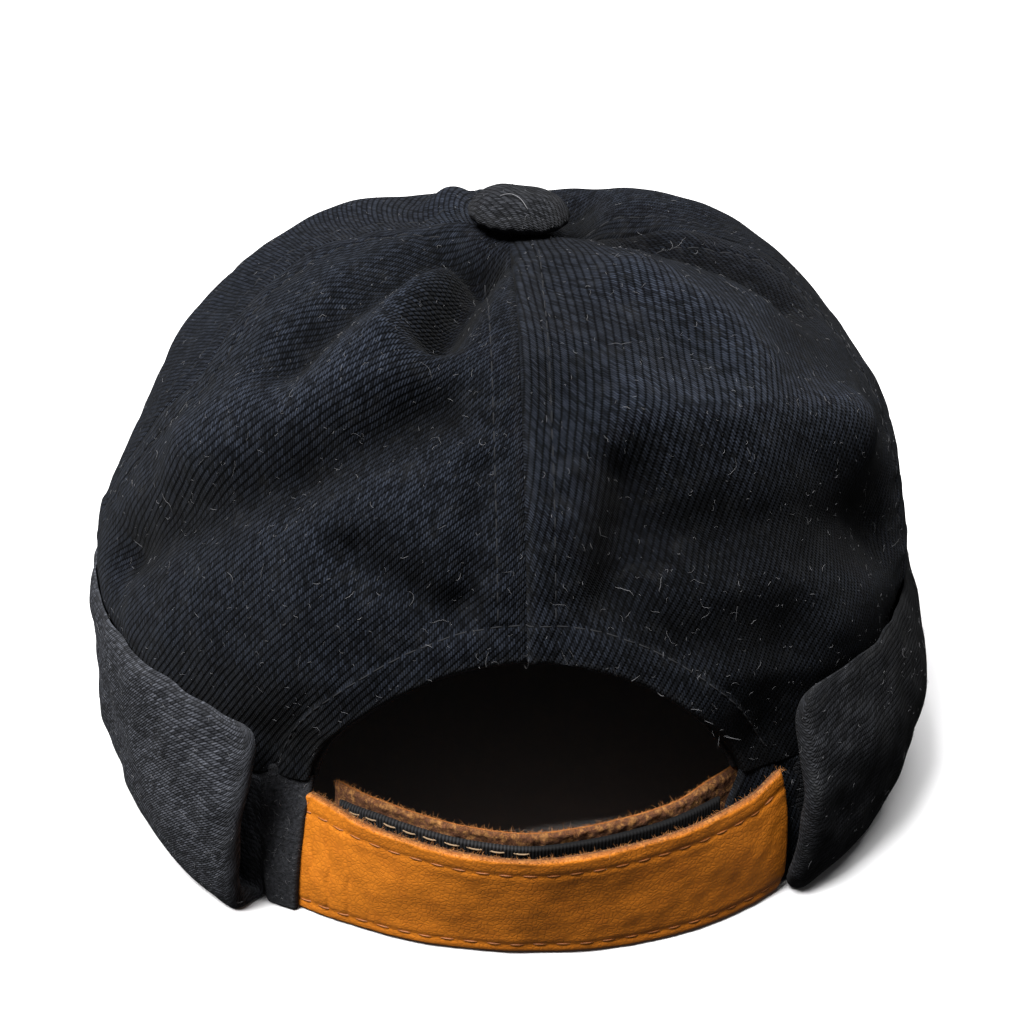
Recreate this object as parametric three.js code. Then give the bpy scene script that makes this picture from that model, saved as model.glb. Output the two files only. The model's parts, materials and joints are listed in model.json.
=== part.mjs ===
import * as THREE from 'three';

// A brimless fisherman cap of heavy cotton twill, resting on its rim. Millimetres, +Z up.
// The origin is on the surface, under the middle of the whole cap. The back of the head is at -Y,
// where the opening and the leather strap are, and the forehead is at +Y.
// A turn is the angle round the crown from the back seam, positive towards +X.
// A level is the share of the way up the wall, from the rim at 0 to the button at 1.

// Driving sizes
const crownHeight = 136;
const halfWidth = 96;
const halfDepth = 90;
const ovalPower = 2.3;
const clothWall = 1.6;
const seamGap = 0.3;
const clearance = 0.3;
const layerGap = 0.5;
const hemHeight = 33;
const stemHole = 4.5;
const panelPuff = 2;
const puffStart = 0.4;
const puffRise = 0.2;
const puffEnd = 0.9;
const puffFall = 0.085;

const openingHeight = 70;
const openingLeft = 28.5;
const openingRight = 32.5;
const facingWidth = 8;
const facingWall = 1;
const facingShows = 1.2;
const facingClearance = 0.5;

const cuffHeight = 52;
const cuffWall = 3;
const cuffSpace = 1.2;
const cuffLeft = 40;
const cuffRight = 41.5;
const spreadLeft = 4;
const spreadRight = 1.5;
const spreadTurn = 26;
const cuffEdge = 0.3;
const bandWall = 1.7;
const bandLap = 8;
const bandRound = 0.8;
const bandInset = 0.4;
const bandEdge = 0.25;
const hemGap = 0.35;
const foldFloor = 1.9;
const tabInset = 0.6;
const tabLeft = 33;
const tabRight = 30;

const strapWidth = 29.5;
const leather = 2.3;
const strapLeft = 38;
const strapRight = 40;
const strapCover = 2;
const footBow = 7.3;
const footBendLeft = 0.8;
const footBendRight = 1.3;
const headBow = 11;
const headBend = 3.4;
const tapeWidth = 24;
const tapeThick = 1.8;
const tapeLeft = 29;
const tapeRight = 25;
const hookRaise = 2.6;
const loopRaise = 3.8;
const innerLeft = 31;
const innerRight = 35;
const innerRaise = 2.2;

const buttonRadius = 11.8;
const buttonThick = 8;
const buttonShift = 2.2;
const buttonTilt = 4;
const buttonSink = 0.4;
const stemRadius = 1.9;
const stemLength = 6;

// Numbers of steps in the faceted surfaces
const panelColumns = 18;
const archColumns = 7;
const panelRows = 20;
const facingColumns = 26;
const facingRows = 2;
const cuffColumns = 44;
const tabColumns = 3;
const strapColumns = 18;
const strapRows = 5;
const buttonColumns = 24;

const degree = Math.PI / 180;

// The wall from the rim up to the button: height as a share of crownHeight, and how far it
// reaches in the four directions as a share of the oval
const wallSections = [
  { rise: 0.000, back: 0.951, left: 0.951, front: 0.950, right: 0.955 },
  { rise: 0.120, back: 0.962, left: 0.955, front: 0.955, right: 0.968 },
  { rise: 0.250, back: 0.970, left: 0.965, front: 0.968, right: 0.975 },
  { rise: 0.380, back: 0.967, left: 1.008, front: 0.990, right: 0.960 },
  { rise: 0.505, back: 0.961, left: 1.002, front: 1.000, right: 0.974 },
  { rise: 0.655, back: 0.914, left: 0.905, front: 0.950, right: 0.940 },
  { rise: 0.790, back: 0.800, left: 0.790, front: 0.815, right: 0.832 },
  { rise: 0.923, back: 0.600, left: 0.586, front: 0.580, right: 0.650 },
  { rise: 0.980, back: 0.320, left: 0.316, front: 0.300, right: 0.350 },
  { rise: 1.000, back: 0.000, left: 0.000, front: 0.000, right: 0.000 },
];

// The turns of the side seams at even steps of level, from the rim to the button. The seams
// wander because the soft crown leans and sags.
const sideSeams = [
  { left: -90, right: 68 },
  { left: -90, right: 68 },
  { left: -90, right: 68 },
  { left: -90, right: 70 },
  { left: -88, right: 73 },
  { left: -82.5, right: 76 },
  { left: -76.5, right: 80 },
  { left: -69.5, right: 86 },
  { left: -84, right: 94 },
  { left: -99, right: 100 },
  { left: -94, right: 94 },
];

// Folds and dents of the soft crown, each along a line from one turn and level to another.
// Width and depth are shares of crownHeight: a valley is below 0 and a ridge above.
const folds = [
  { name: 'valley left of the back seam', from: [-29, 0.936], to: [-14.8, 0.82], wide: 0.052, deep: -0.032 },
  { name: 'dent beside it', from: [-47, 0.894], to: [-39.5, 0.829], wide: 0.055, deep: -0.026 },
  { name: 'ridge between them', from: [-37, 0.92], to: [-27, 0.81], wide: 0.05, deep: 0.018 },
  { name: 'long valley, upper', from: [-17.8, 0.738], to: [-34, 0.665], wide: 0.075, deep: -0.026 },
  { name: 'long valley, lower', from: [-41, 0.62], to: [-61.5, 0.494], wide: 0.085, deep: -0.024 },
  { name: 'ridge over the long valley', from: [-26, 0.79], to: [-58, 0.63], wide: 0.09, deep: 0.022 },
  { name: 'pinch over the opening', from: [-24, 0.57], to: [-11, 0.545], wide: 0.04, deep: -0.016 },
  { name: 'valley right of the back seam', from: [14.3, 0.67], to: [9.5, 0.55], wide: 0.045, deep: -0.02 },
  { name: 'bulge at the right', from: [34, 0.69], to: [54, 0.64], wide: 0.1, deep: 0.024 },
  { name: 'hollow under the bulge', from: [34, 0.55], to: [66, 0.47], wide: 0.085, deep: -0.024 },
  { name: 'dent at the upper right', from: [88, 0.893], to: [75, 0.794], wide: 0.075, deep: -0.036 },
  { name: 'ridge beside that dent', from: [57, 0.9], to: [56, 0.75], wide: 0.06, deep: 0.02 },
  { name: 'hump behind the button', from: [-127, 0.945], to: [-147, 0.912], wide: 0.04, deep: 0.024 },
  { name: 'dip left of it', from: [-117, 0.925], to: [-141, 0.88], wide: 0.045, deep: -0.018 },
  { name: 'dip right of the button', from: [108, 0.95], to: [146, 0.89], wide: 0.045, deep: -0.024 },
  { name: 'hump right of that dip', from: [128, 0.86], to: [118, 0.82], wide: 0.06, deep: 0.014 },
  { name: 'fold at the front left', from: [-150, 0.72], to: [-118, 0.6], wide: 0.08, deep: -0.022 },
  { name: 'fold at the front right', from: [152, 0.75], to: [122, 0.57], wide: 0.08, deep: -0.022 },
  { name: 'dip under the button', from: [0, 1], to: [180, 1], wide: 0.075, deep: -0.009 },
  { name: 'left tab drawn in', from: [-31, 0.19], to: [-33, 0.25], wide: 0.13, deep: -0.038 },
  { name: 'right tab drawn in', from: [35, 0.19], to: [34, 0.25], wide: 0.13, deep: -0.038 },
];

// How high the cuff's top is, how far its middle bellies out and how far its top flares,
// as shares of cuffHeight, in the four directions
const cuffTop = { back: 0.91, left: 0.98, front: 1, right: 0.91 };
const cuffBelly = { back: 0.03, left: 0.095, front: 0.06, right: 0.1 };
const cuffFlare = { back: 0.01, left: 0.02, front: 0.02, right: 0.054 };

const material = (name, color, roughness) =>
  new THREE.MeshStandardMaterial({ name, color, roughness, metalness: 0 });
const twill = material('black_twill', 0x14161c, 0.95);
const bandCloth = material('band_twill', 0x16181e, 0.95);
const facingTape = material('facing_tape', 0x101218, 0.85);
const tanLeather = material('tan_leather', 0xb0622a, 0.5);
const tape = material('black_tape', 0x121214, 0.9);

const mix = (a, b, share) => a + (b - a) * share;
const ease = (share) => {
  const s = Math.min(Math.max(share, 0), 1);
  return s * s * (3 - 2 * s);
};

// A smooth run through one column of a table with even steps of level
function column(table, name, level) {
  const last = table.length - 1;
  const x = Math.min(Math.max(level, 0), 1) * last;
  const i = Math.min(Math.floor(x), last - 1);
  const f = x - i;
  const b = table[i][name];
  const c = table[i + 1][name];
  const a = i > 0 ? table[i - 1][name] : 2 * b - c;
  const d = i + 2 <= last ? table[i + 2][name] : 2 * c - b;
  const cubic = 3 * b - a - 3 * c + d;
  return 0.5 * (2 * b + (c - a) * f + (2 * a - 5 * b + 4 * c - d) * f ** 2 + cubic * f ** 3);
}

const heightAt = (level) => column(wallSections, 'rise', level) * crownHeight;

// One value from four directions, blended round the head
function around(turn, four) {
  const back = Math.cos(turn * degree);
  const right = Math.sin(turn * degree);
  return four.back * Math.max(back, 0) ** 2 + four.front * Math.max(-back, 0) ** 2
    + four.right * Math.max(right, 0) ** 2 + four.left * Math.max(-right, 0) ** 2;
}

function wall(turn, level) {
  const side = Math.sin(turn * degree);
  const back = Math.cos(turn * degree);
  const inverse = (Math.abs(side) / halfWidth) ** ovalPower + (Math.abs(back) / halfDepth) ** ovalPower;
  const oval = inverse ** (-1 / ovalPower);
  const radius = oval * around(turn, {
    back: column(wallSections, 'back', level),
    left: column(wallSections, 'left', level),
    front: column(wallSections, 'front', level),
    right: column(wallSections, 'right', level),
  });
  return new THREE.Vector3(radius * side, -radius * back, heightAt(level));
}

function outward(turn, level) {
  const step = 0.004;
  const low = Math.max(level - step, 0);
  const high = Math.min(level + step, 1 - step);
  const up = wall(turn, high).sub(wall(turn, low));
  const round = wall(turn + 1, Math.min(level, high)).sub(wall(turn - 1, Math.min(level, high)));
  const normal = round.cross(up).normalize();
  normal.z *= ease(wall(turn, level).z / hemHeight);
  return normal.normalize();
}

// The level of a height above the rim
function levelAt(height) {
  let low = 0;
  let high = 1;
  while (high - low > 1e-6) {
    const middle = (low + high) / 2;
    if (heightAt(middle) < height) low = middle;
    else high = middle;
  }
  return (low + high) / 2;
}

// The turns of the five seams that bound the four panels, from the left side seam round to
// itself again
function seamTurns(level) {
  const left = column(sideSeams, 'left', level);
  return [left, 0, column(sideSeams, 'right', level), 180, left + 360];
}

// How far a turn is from the seams beside it: 0 at a seam and 1 midway
function betweenSeams(turn, level) {
  const seams = seamTurns(level);
  const whole = ((turn - seams[0] + 720) % 360) + seams[0];
  const panel = Math.max(seams.findIndex((seam) => seam > whole), 1);
  const share = (whole - seams[panel - 1]) / (seams[panel] - seams[panel - 1]);
  return Math.sin(Math.PI * share) ** 2;
}

const foldLines = folds.map((fold) => ({
  line: new THREE.Line3(wall(...fold.from), wall(...fold.to)),
  wide: fold.wide * crownHeight,
  deep: fold.deep * crownHeight,
}));

// How far folds and puffed panels move the wall outwards; the rim stays still
function relief(turn, level) {
  const point = wall(turn, level);
  const nearest = new THREE.Vector3();
  let out = 0;
  for (const fold of foldLines) {
    fold.line.closestPointToPoint(point, true, nearest);
    out += fold.deep * Math.exp(-((point.distanceTo(nearest) / fold.wide) ** 2));
  }
  const puffed = ease((level - puffStart) / puffRise) * (1 - ease((level - puffEnd) / puffFall));
  const puff = panelPuff * betweenSeams(turn, level) * puffed;
  return (out + puff) * Math.min(point.z / hemHeight, 1);
}

function place(turn, level, out, reliefShare = 1) {
  const lift = out + reliefShare * relief(turn, level);
  return wall(turn, level).addScaledVector(outward(turn, level), lift);
}

function meshOf(name, finish, points, faces) {
  const geometry = new THREE.BufferGeometry();
  const flat = points.flatMap((point) => [point.x, point.y, point.z]);
  geometry.setAttribute('position', new THREE.Float32BufferAttribute(flat, 3));
  geometry.setIndex(faces);
  geometry.computeVertexNormals();
  const mesh = new THREE.Mesh(geometry, finish);
  mesh.name = name;
  return mesh;
}

// Two triangles for four corners, split along the shorter diagonal
function quad(points, faces, a, b, c, d) {
  const straight = points[a].distanceToSquared(points[c]) <= points[b].distanceToSquared(points[d]);
  if (straight) faces.push(a, b, c, a, c, d);
  else faces.push(a, b, d, b, c, d);
}

// A curved slab: pointAt(i, j, side) gives its outer face for side 0 and its inner for side 1
function slab(name, finish, across, up, pointAt) {
  const points = [];
  const faces = [];
  const at = (i, j, side) => (side * (up + 1) + j) * (across + 1) + i;
  for (const side of [0, 1]) {
    for (let j = 0; j <= up; j++) {
      for (let i = 0; i <= across; i++) points.push(pointAt(i, j, side));
    }
  }
  for (let j = 0; j < up; j++) {
    for (let i = 0; i < across; i++) {
      quad(points, faces, at(i, j, 0), at(i + 1, j, 0), at(i + 1, j + 1, 0), at(i, j + 1, 0));
      quad(points, faces, at(i, j, 1), at(i, j + 1, 1), at(i + 1, j + 1, 1), at(i + 1, j, 1));
    }
    quad(points, faces, at(0, j, 0), at(0, j + 1, 0), at(0, j + 1, 1), at(0, j, 1));
    quad(points, faces, at(across, j + 1, 0), at(across, j, 0), at(across, j, 1), at(across, j + 1, 1));
  }
  for (let i = 0; i < across; i++) {
    quad(points, faces, at(i + 1, 0, 0), at(i, 0, 0), at(i, 0, 1), at(i + 1, 0, 1));
    quad(points, faces, at(i, up, 0), at(i + 1, up, 0), at(i + 1, up, 1), at(i, up, 1));
  }
  return meshOf(name, finish, points, faces);
}

// The opening's edge, from its left foot at -90 through its top at 0 to its right foot at 90.
// The left side is round and the right side is straighter. grow widens it all round.
function openingEdge(angle, grow) {
  const foot = angle < 0 ? openingLeft : openingRight;
  const growTurn = grow / (halfDepth * degree);
  const shape = Math.cos(angle * degree) ** (angle < 0 ? 1 : 2);
  return {
    turn: (foot + growTurn) * Math.sin(angle * degree),
    height: hemHeight + (openingHeight + grow - hemHeight) * shape,
  };
}

// The lowest height of the crown at a turn: the opening's edge, or the hem beside it
function lowerEdge(turn) {
  const foot = turn < 0 ? openingLeft : openingRight;
  if (Math.abs(turn) >= foot) return hemHeight;
  return openingEdge(Math.asin(turn / foot) / degree, 0).height;
}

// The level where the crown is as wide as the hole for the button's stem
const topLevel = (() => {
  let level = 1;
  while (wall(90, level).x < stemHole) level -= 0.001;
  return level;
})();

const hemLevel = levelAt(hemHeight);

// The turn of a panel's column i. Beside the back seam the columns bunch to follow the arch.
function columnTurn(i, start, end) {
  const beside = panelColumns - archColumns;
  if (start === 0) {
    if (i > archColumns) return mix(openingRight, end, (i - archColumns) / beside);
    return openingRight * Math.sin((i / archColumns) * 90 * degree);
  }
  if (end === 0) {
    if (i < beside) return mix(start, -openingLeft, i / beside);
    return -openingLeft * Math.sin(((panelColumns - i) / archColumns) * 90 * degree);
  }
  return mix(start, end, i / panelColumns);
}

// A crown panel. It is counted from 0 at the back left, round over the back right.
function crownPanel(name, panel) {
  return slab(name, twill, panelColumns, panelRows, (i, j, side) => {
    const share = j / panelRows;
    const even = mix(hemLevel, topLevel, share);
    const seams = seamTurns(even);
    const turn = columnTurn(i, seams[panel], seams[panel + 1]);
    const edge = levelAt(lowerEdge(turn)) - hemLevel;
    const point = place(turn, even + edge * (1 - share) ** 2, -side * clothWall);
    const shift = i === 0 ? seamGap / 2 : i === panelColumns ? -seamGap / 2 : 0;
    point.x += shift * Math.cos(turn * degree);
    point.y += shift * Math.sin(turn * degree);
    return point;
  });
}

function openingFacing() {
  return slab('opening_facing', facingTape, facingColumns, facingRows, (i, j, side) => {
    const grow = mix(-facingShows, facingWidth, j / facingRows);
    const edge = openingEdge(mix(-90, 90, i / facingColumns), grow);
    const out = -clothWall - facingClearance - side * facingWall;
    return place(edge.turn, levelAt(edge.height), out);
  });
}

// The inner ply of the turned-up band, from the fold up its outer face and down its inner face.
// Inside the crown it laps above the hem. At its ends it stops at the hem, and the tabs beside
// the opening are as thick as one ply all the way up.
function bandSection(turn, lapped, isTab) {
  const inside = isTab ? tabInset : clothWall + bandInset;
  const innerFace = isTab ? bandWall : inside + bandWall;
  const seam = hemHeight - hemGap;
  const top = seam + mix(bandEdge, bandLap, lapped);
  const rows = [
    { out: 0, height: foldFloor },
    { out: 0, height: hemHeight * 0.25 },
    { out: 0, height: hemHeight * 0.5 },
    { out: 0, height: hemHeight * 0.75 },
    { out: 0, height: seam - bandRound },
    { out: -inside, height: seam },
    { out: -inside, height: top },
    { out: -innerFace, height: top },
    { out: -innerFace, height: seam - bandRound },
    { out: -bandWall, height: hemHeight * 0.88 },
    { out: -bandWall, height: hemHeight * 0.7 },
    { out: -bandWall, height: hemHeight * 0.45 },
    { out: -bandWall, height: hemHeight * 0.25 },
    { out: -bandWall, height: foldFloor + bandRound },
    { out: bandRound - bandWall, height: 0 },
    { out: -bandRound / 2, height: 0 },
  ];
  return rows.map((row) => place(turn, levelAt(row.height), row.out));
}

// How much wider the fold stands open near the cuff's ends
function spread(turn) {
  const fromRight = ease(1 - (turn - cuffRight) / spreadTurn);
  const fromLeft = ease(1 - (360 - cuffLeft - turn) / spreadTurn);
  return spreadRight * fromRight + spreadLeft * fromLeft;
}

// The outer ply: from the flat underside of the fold up its outer face and down its inner face
function cuffSection(turn) {
  const top = cuffHeight * around(turn, cuffTop);
  const space = cuffSpace + spread(turn);
  const face = (share, depth) => {
    const standsOff = mix(space, (space + cuffSpace) / 2, share);
    const belly = cuffHeight * around(turn, cuffBelly) * Math.sin(Math.PI * share);
    const flare = cuffHeight * around(turn, cuffFlare) * share;
    return { out: standsOff + cuffWall + belly + flare - depth, height: top * share };
  };
  const rows = [
    { out: space + cuffWall * 0.57, height: 0 },
    { out: space + cuffWall * 0.93, height: cuffWall * 0.4 },
    face(0.08, 0),
    face(0.27, 0),
    face(0.47, 0),
    face(0.67, 0),
    face(0.86, 0),
    face(0.97, cuffEdge),
    face(1, cuffWall / 2),
    face(0.97, cuffWall - cuffEdge),
    face(0.86, cuffWall),
    face(0.6, cuffWall),
    face(0.33, cuffWall),
    face(0.1, cuffWall),
    { out: cuffSpace / 2, height: foldFloor + clearance },
  ];
  return rows.map((row) => place(turn, levelAt(row.height), row.out, 0));
}

// The band is one strip, folded up outside the crown, with a single-ply tab at each end
function cuff() {
  const points = [];
  const faces = [];
  const add = (section) => section.map((point) => points.push(point) - 1);
  const join = (from, to, count) => {
    for (let k = 0; k < count; k++) {
      const next = (k + 1) % count;
      quad(points, faces, from[k], to[k], to[next], from[next]);
    }
  };
  const close = (section, reversed) => {
    const flat = section.map((index) => points[index]);
    const centre = flat.reduce((sum, point) => sum.add(point), new THREE.Vector3());
    centre.divideScalar(flat.length);
    const along = new THREE.Vector3(centre.x, centre.y, 0).normalize();
    const outline = flat.map((point) => new THREE.Vector2(point.dot(along), point.z));
    for (const [a, b, c] of THREE.ShapeUtils.triangulateShape(outline, [])) {
      if (reversed) faces.push(section[c], section[b], section[a]);
      else faces.push(section[a], section[b], section[c]);
    }
  };
  const start = cuffRight;
  const end = 360 - cuffLeft;
  const sections = [];
  for (let i = 0; i <= cuffColumns; i++) {
    const turn = mix(start, end, i / cuffColumns);
    const lapped = i === 0 || i === cuffColumns ? 0 : 1;
    sections.push([...add(bandSection(turn, lapped, false)), ...add(cuffSection(turn))]);
  }
  const ply = bandSection(start, 0, false).length;
  for (let i = 0; i < cuffColumns; i++) join(sections[i], sections[i + 1], sections[i].length);
  const outerPly = (section) => [section[0], ...section.slice(ply - 1)];
  close(outerPly(sections[0]), false);
  close(outerPly(sections[cuffColumns]), true);
  const ends = [[sections[0], start, tabRight], [sections[cuffColumns], end, 360 - tabLeft]];
  for (const [first, from, to] of ends) {
    let last = first.slice(0, ply);
    for (let i = 1; i <= tabColumns; i++) {
      const next = add(bandSection(mix(from, to, i / tabColumns), 0, true));
      if (to > from) join(last, next, ply);
      else join(next, last, ply);
      last = next;
    }
    close(last, to > from);
  }
  return meshOf('cuff', bandCloth, points, faces);
}

// The strap's outer face starts inside the left tab, bows out over the opening and ends
// outside the right tab. depth is measured inwards, and raise along the strap's width.
function strapPoint(turn, raise, depth) {
  const insideTab = -bandWall - layerGap;
  const outsideTab = leather + layerGap;
  const crossing = (turn + tabLeft - strapCover) / (tabLeft + tabRight - 2 * strapCover);
  const base = mix(insideTab, outsideTab, ease(crossing));
  const across = Math.min(Math.abs(turn) / (turn < 0 ? tabLeft : tabRight), 1);
  const bow = Math.cos(across * 90 * degree);
  const foot = footBow * bow ** (turn < 0 ? footBendLeft : footBendRight);
  const head = headBow * bow ** headBend;
  const out = base + mix(foot, head, raise / strapWidth);
  const point = place(turn, levelAt(clearance + raise), out);
  point.x -= depth * Math.sin(turn * degree);
  point.y += depth * Math.cos(turn * degree);
  return point;
}

// One layer of the adjuster, from its left turn to its right one
function strapLayer(name, finish, left, right, low, width, thick, depthAt) {
  return slab(name, finish, strapColumns, strapRows, (i, j, side) => {
    const turn = mix(-left, right, i / strapColumns);
    const raise = low + (width * j) / strapRows;
    return strapPoint(turn, raise, depthAt(turn) + side * thick);
  });
}

function strapLayers() {
  const hook = leather + clearance;
  const loop = hook + tapeThick + clearance;
  const inner = loop + tapeThick + clearance;
  const insideTab = leather + bandWall + 2 * layerGap;
  const innerDepth = (turn) => {
    return mix(inner, insideTab, ease((turn - tapeRight) / (tabRight - tapeRight)));
  };
  return [
    strapLayer('strap_outer', tanLeather, strapLeft, strapRight, 0, strapWidth, leather, () => 0),
    strapLayer('hook_tape', tape, tapeLeft, tapeRight, hookRaise, tapeWidth, tapeThick, () => hook),
    strapLayer('loop_tape', tape, tapeLeft, tapeRight, loopRaise, tapeWidth, tapeThick, () => loop),
    strapLayer(
      'strap_inner', tanLeather, innerLeft, innerRight, innerRaise, strapWidth, leather, innerDepth,
    ),
  ];
}

// A cloth-covered button whose stem goes through the hole where the four panels meet
function button() {
  const profile = [
    { reach: 0, up: -stemLength },
    { reach: stemRadius, up: -stemLength },
    { reach: stemRadius, up: 0 },
    { reach: buttonRadius * 0.62, up: 0 },
    { reach: buttonRadius * 0.9, up: buttonThick * 0.15 },
    { reach: buttonRadius, up: buttonThick * 0.4 },
    { reach: buttonRadius * 0.94, up: buttonThick * 0.66 },
    { reach: buttonRadius * 0.72, up: buttonThick * 0.88 },
    { reach: buttonRadius * 0.38, up: buttonThick * 0.98 },
    { reach: 0, up: buttonThick },
  ];
  const outline = profile.map((row) => new THREE.Vector2(row.reach, row.up));
  const geometry = new THREE.LatheGeometry(outline, buttonColumns);
  geometry.rotateX(90 * degree);
  const mesh = new THREE.Mesh(geometry, twill);
  mesh.name = 'button';
  mesh.position.set(buttonShift, 0, crownHeight - buttonSink);
  mesh.rotation.set(0, buttonTilt * degree, 0);
  return mesh;
}

const cap = new THREE.Group();
cap.add(
  crownPanel('crown_panel_back_left', 0),
  crownPanel('crown_panel_back_right', 1),
  crownPanel('crown_panel_front_right', 2),
  crownPanel('crown_panel_front_left', 3),
  openingFacing(),
  cuff(),
  ...strapLayers(),
  button(),
);
const overall = new THREE.Box3().setFromObject(cap);
const middle = overall.getCenter(new THREE.Vector3());
cap.position.set(-middle.x, -middle.y, 0);

export default cap;
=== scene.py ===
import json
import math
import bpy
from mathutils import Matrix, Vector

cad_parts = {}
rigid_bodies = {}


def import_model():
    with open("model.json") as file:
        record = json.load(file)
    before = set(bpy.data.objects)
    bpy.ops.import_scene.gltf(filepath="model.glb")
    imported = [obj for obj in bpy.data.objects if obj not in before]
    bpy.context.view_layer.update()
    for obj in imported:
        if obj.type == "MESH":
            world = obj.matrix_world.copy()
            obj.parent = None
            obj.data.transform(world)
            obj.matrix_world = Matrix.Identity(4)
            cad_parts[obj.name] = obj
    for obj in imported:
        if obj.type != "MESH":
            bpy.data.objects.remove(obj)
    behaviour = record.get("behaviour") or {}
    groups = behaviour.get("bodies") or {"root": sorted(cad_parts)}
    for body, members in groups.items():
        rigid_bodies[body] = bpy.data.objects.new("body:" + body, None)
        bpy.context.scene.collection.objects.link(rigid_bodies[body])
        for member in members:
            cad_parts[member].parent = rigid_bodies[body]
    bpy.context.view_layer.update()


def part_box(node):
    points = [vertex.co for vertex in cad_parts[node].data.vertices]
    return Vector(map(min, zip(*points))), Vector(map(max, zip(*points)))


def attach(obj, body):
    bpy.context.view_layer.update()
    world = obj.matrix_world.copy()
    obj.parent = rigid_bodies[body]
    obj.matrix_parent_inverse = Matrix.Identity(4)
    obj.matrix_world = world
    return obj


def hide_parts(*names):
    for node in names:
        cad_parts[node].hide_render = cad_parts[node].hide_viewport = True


bl_info = {
    "name": "Fisherman cap",
    "version": (1, 0, 0),
    "blender": (4, 5, 0),
    "location": "3D View > Sidebar > Cap",
    "description": "Dresses a brimless fisherman cap in black twill and tan leather, on a plain stage",
    "category": "Object",
}

import bpy
import numpy as np
from mathutils import Vector

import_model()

# The frame is in metres, +Z up, with the back of the head at -Y. A turn is the angle in degrees
# round the crown from the back seam, positive towards +X. A level is the share of the way up the
# wall, from the rim at 0 to the button at 1.

MM = 0.001
DEGREE = math.pi / 180

# The crown's wall at its sections, from the rim to the button: height as a share of the crown's
# height, and reach in four directions as a share of the oval
WALL = {
    "rise": (0.000, 0.120, 0.250, 0.380, 0.505, 0.655, 0.790, 0.923, 0.980, 1.000),
    "back": (0.951, 0.962, 0.970, 0.967, 0.961, 0.914, 0.800, 0.600, 0.320, 0.000),
    "left": (0.951, 0.955, 0.965, 1.008, 1.002, 0.905, 0.790, 0.586, 0.316, 0.000),
    "front": (0.950, 0.955, 0.968, 0.990, 1.000, 0.950, 0.815, 0.580, 0.300, 0.000),
    "right": (0.955, 0.968, 0.975, 0.960, 0.974, 0.940, 0.832, 0.650, 0.350, 0.000),
}

# The turns of the side seams at even steps of level
SIDE_SEAMS = {
    "left": (-90, -90, -90, -90, -88, -82.5, -76.5, -69.5, -84, -99, -94),
    "right": (68, 68, 68, 70, 73, 76, 80, 86, 94, 100, 94),
}

# Folds of the soft crown, each from one turn and level to another, with its width and its
# depth as shares of the crown's height. A valley's depth is below 0 and a ridge's above.
FOLDS = (
    ("valley left of the back seam", -20.5, 0.93, -21, 0.81, 0.042, -0.080),
    ("ridge beside it", -36, 0.914, -31, 0.79, 0.032, 0.026),
    ("valley left of that ridge", -49, 0.931, -48, 0.74, 0.052, -0.052),
    ("long valley, upper", -15.9, 0.725, -36, 0.645, 0.058, -0.050),
    ("long valley, lower", -44, 0.605, -68, 0.46, 0.062, -0.046),
    ("ridge over the long valley", -30, 0.76, -60, 0.63, 0.070, 0.022),
    ("pinch over the opening", -25.1, 0.569, -10.5, 0.508, 0.034, -0.026),
    ("crease beside the back seam", -7.1, 0.666, -8.2, 0.53, 0.026, -0.013),
    ("valley right of the back seam", 17.0, 0.655, 12.6, 0.52, 0.050, -0.050),
    ("bulge at the right", 22, 0.712, 60, 0.635, 0.062, 0.036),
    ("hollow under the bulge", 22, 0.585, 62, 0.50, 0.085, -0.056),
    ("hollow beside the opening", 19, 0.475, 38, 0.43, 0.070, -0.026),
    ("dent at the upper right", 86, 0.90, 74, 0.77, 0.060, -0.047),
    ("ridge below that dent", 42, 0.86, 46, 0.74, 0.055, 0.030),
    ("hump behind the button", -127, 0.945, -147, 0.912, 0.052, 0.026),
    ("dip left of it", -117, 0.925, -141, 0.88, 0.045, -0.018),
    ("dip right of the button", 108, 0.95, 146, 0.89, 0.048, -0.052),
    ("hump right of that dip", 128, 0.86, 118, 0.82, 0.060, 0.014),
    ("fold at the front left", -150, 0.72, -118, 0.6, 0.080, -0.030),
    ("fold at the front right", 152, 0.75, 122, 0.57, 0.080, -0.030),
    ("dip under the button", 0, 1, 180, 1, 0.075, -0.009),
    ("left tab drawn in", -31, 0.19, -33, 0.25, 0.130, -0.038),
    ("right tab drawn in", 35, 0.19, 34, 0.25, 0.130, -0.038),
)

# The turned-up cuff in four directions: its height and belly as shares of the cuff's height
CUFF = {
    "top": {"back": 0.98, "left": 1.085, "front": 1, "right": 1.085},
    "belly": {"back": 0.05, "left": 0.1, "front": 0.06, "right": 0.115},
}

# How far in millimetres the outer strap's face stands off the crown's wall at its lower and its
# upper edge, at even steps of turn over its whole reach
STRAP = {
    "foot": (-2.2, 0.2, 2.2, 4.8, 6.6, 7.8, 8.2, 7.6, 6.2, 4.0, 1.6),
    "head": (-2.2, 0.7, 4.9, 7.8, 11.3, 13.6, 12.2, 9.9, 8.0, 6.4, 3.6),
}


def length(name, description, default):
    """A property that holds a length in metres."""
    return bpy.props.FloatProperty(
        name=name, description=description, default=default, unit="LENGTH", precision=4
    )


def number(name, description, default):
    """A property that holds a plain number."""
    return bpy.props.FloatProperty(name=name, description=description, default=default)


def colour(name, description, default):
    """A property that holds a colour."""
    return bpy.props.FloatVectorProperty(
        name=name, description=description, default=default, subtype="COLOR", min=0, max=1
    )


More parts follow.
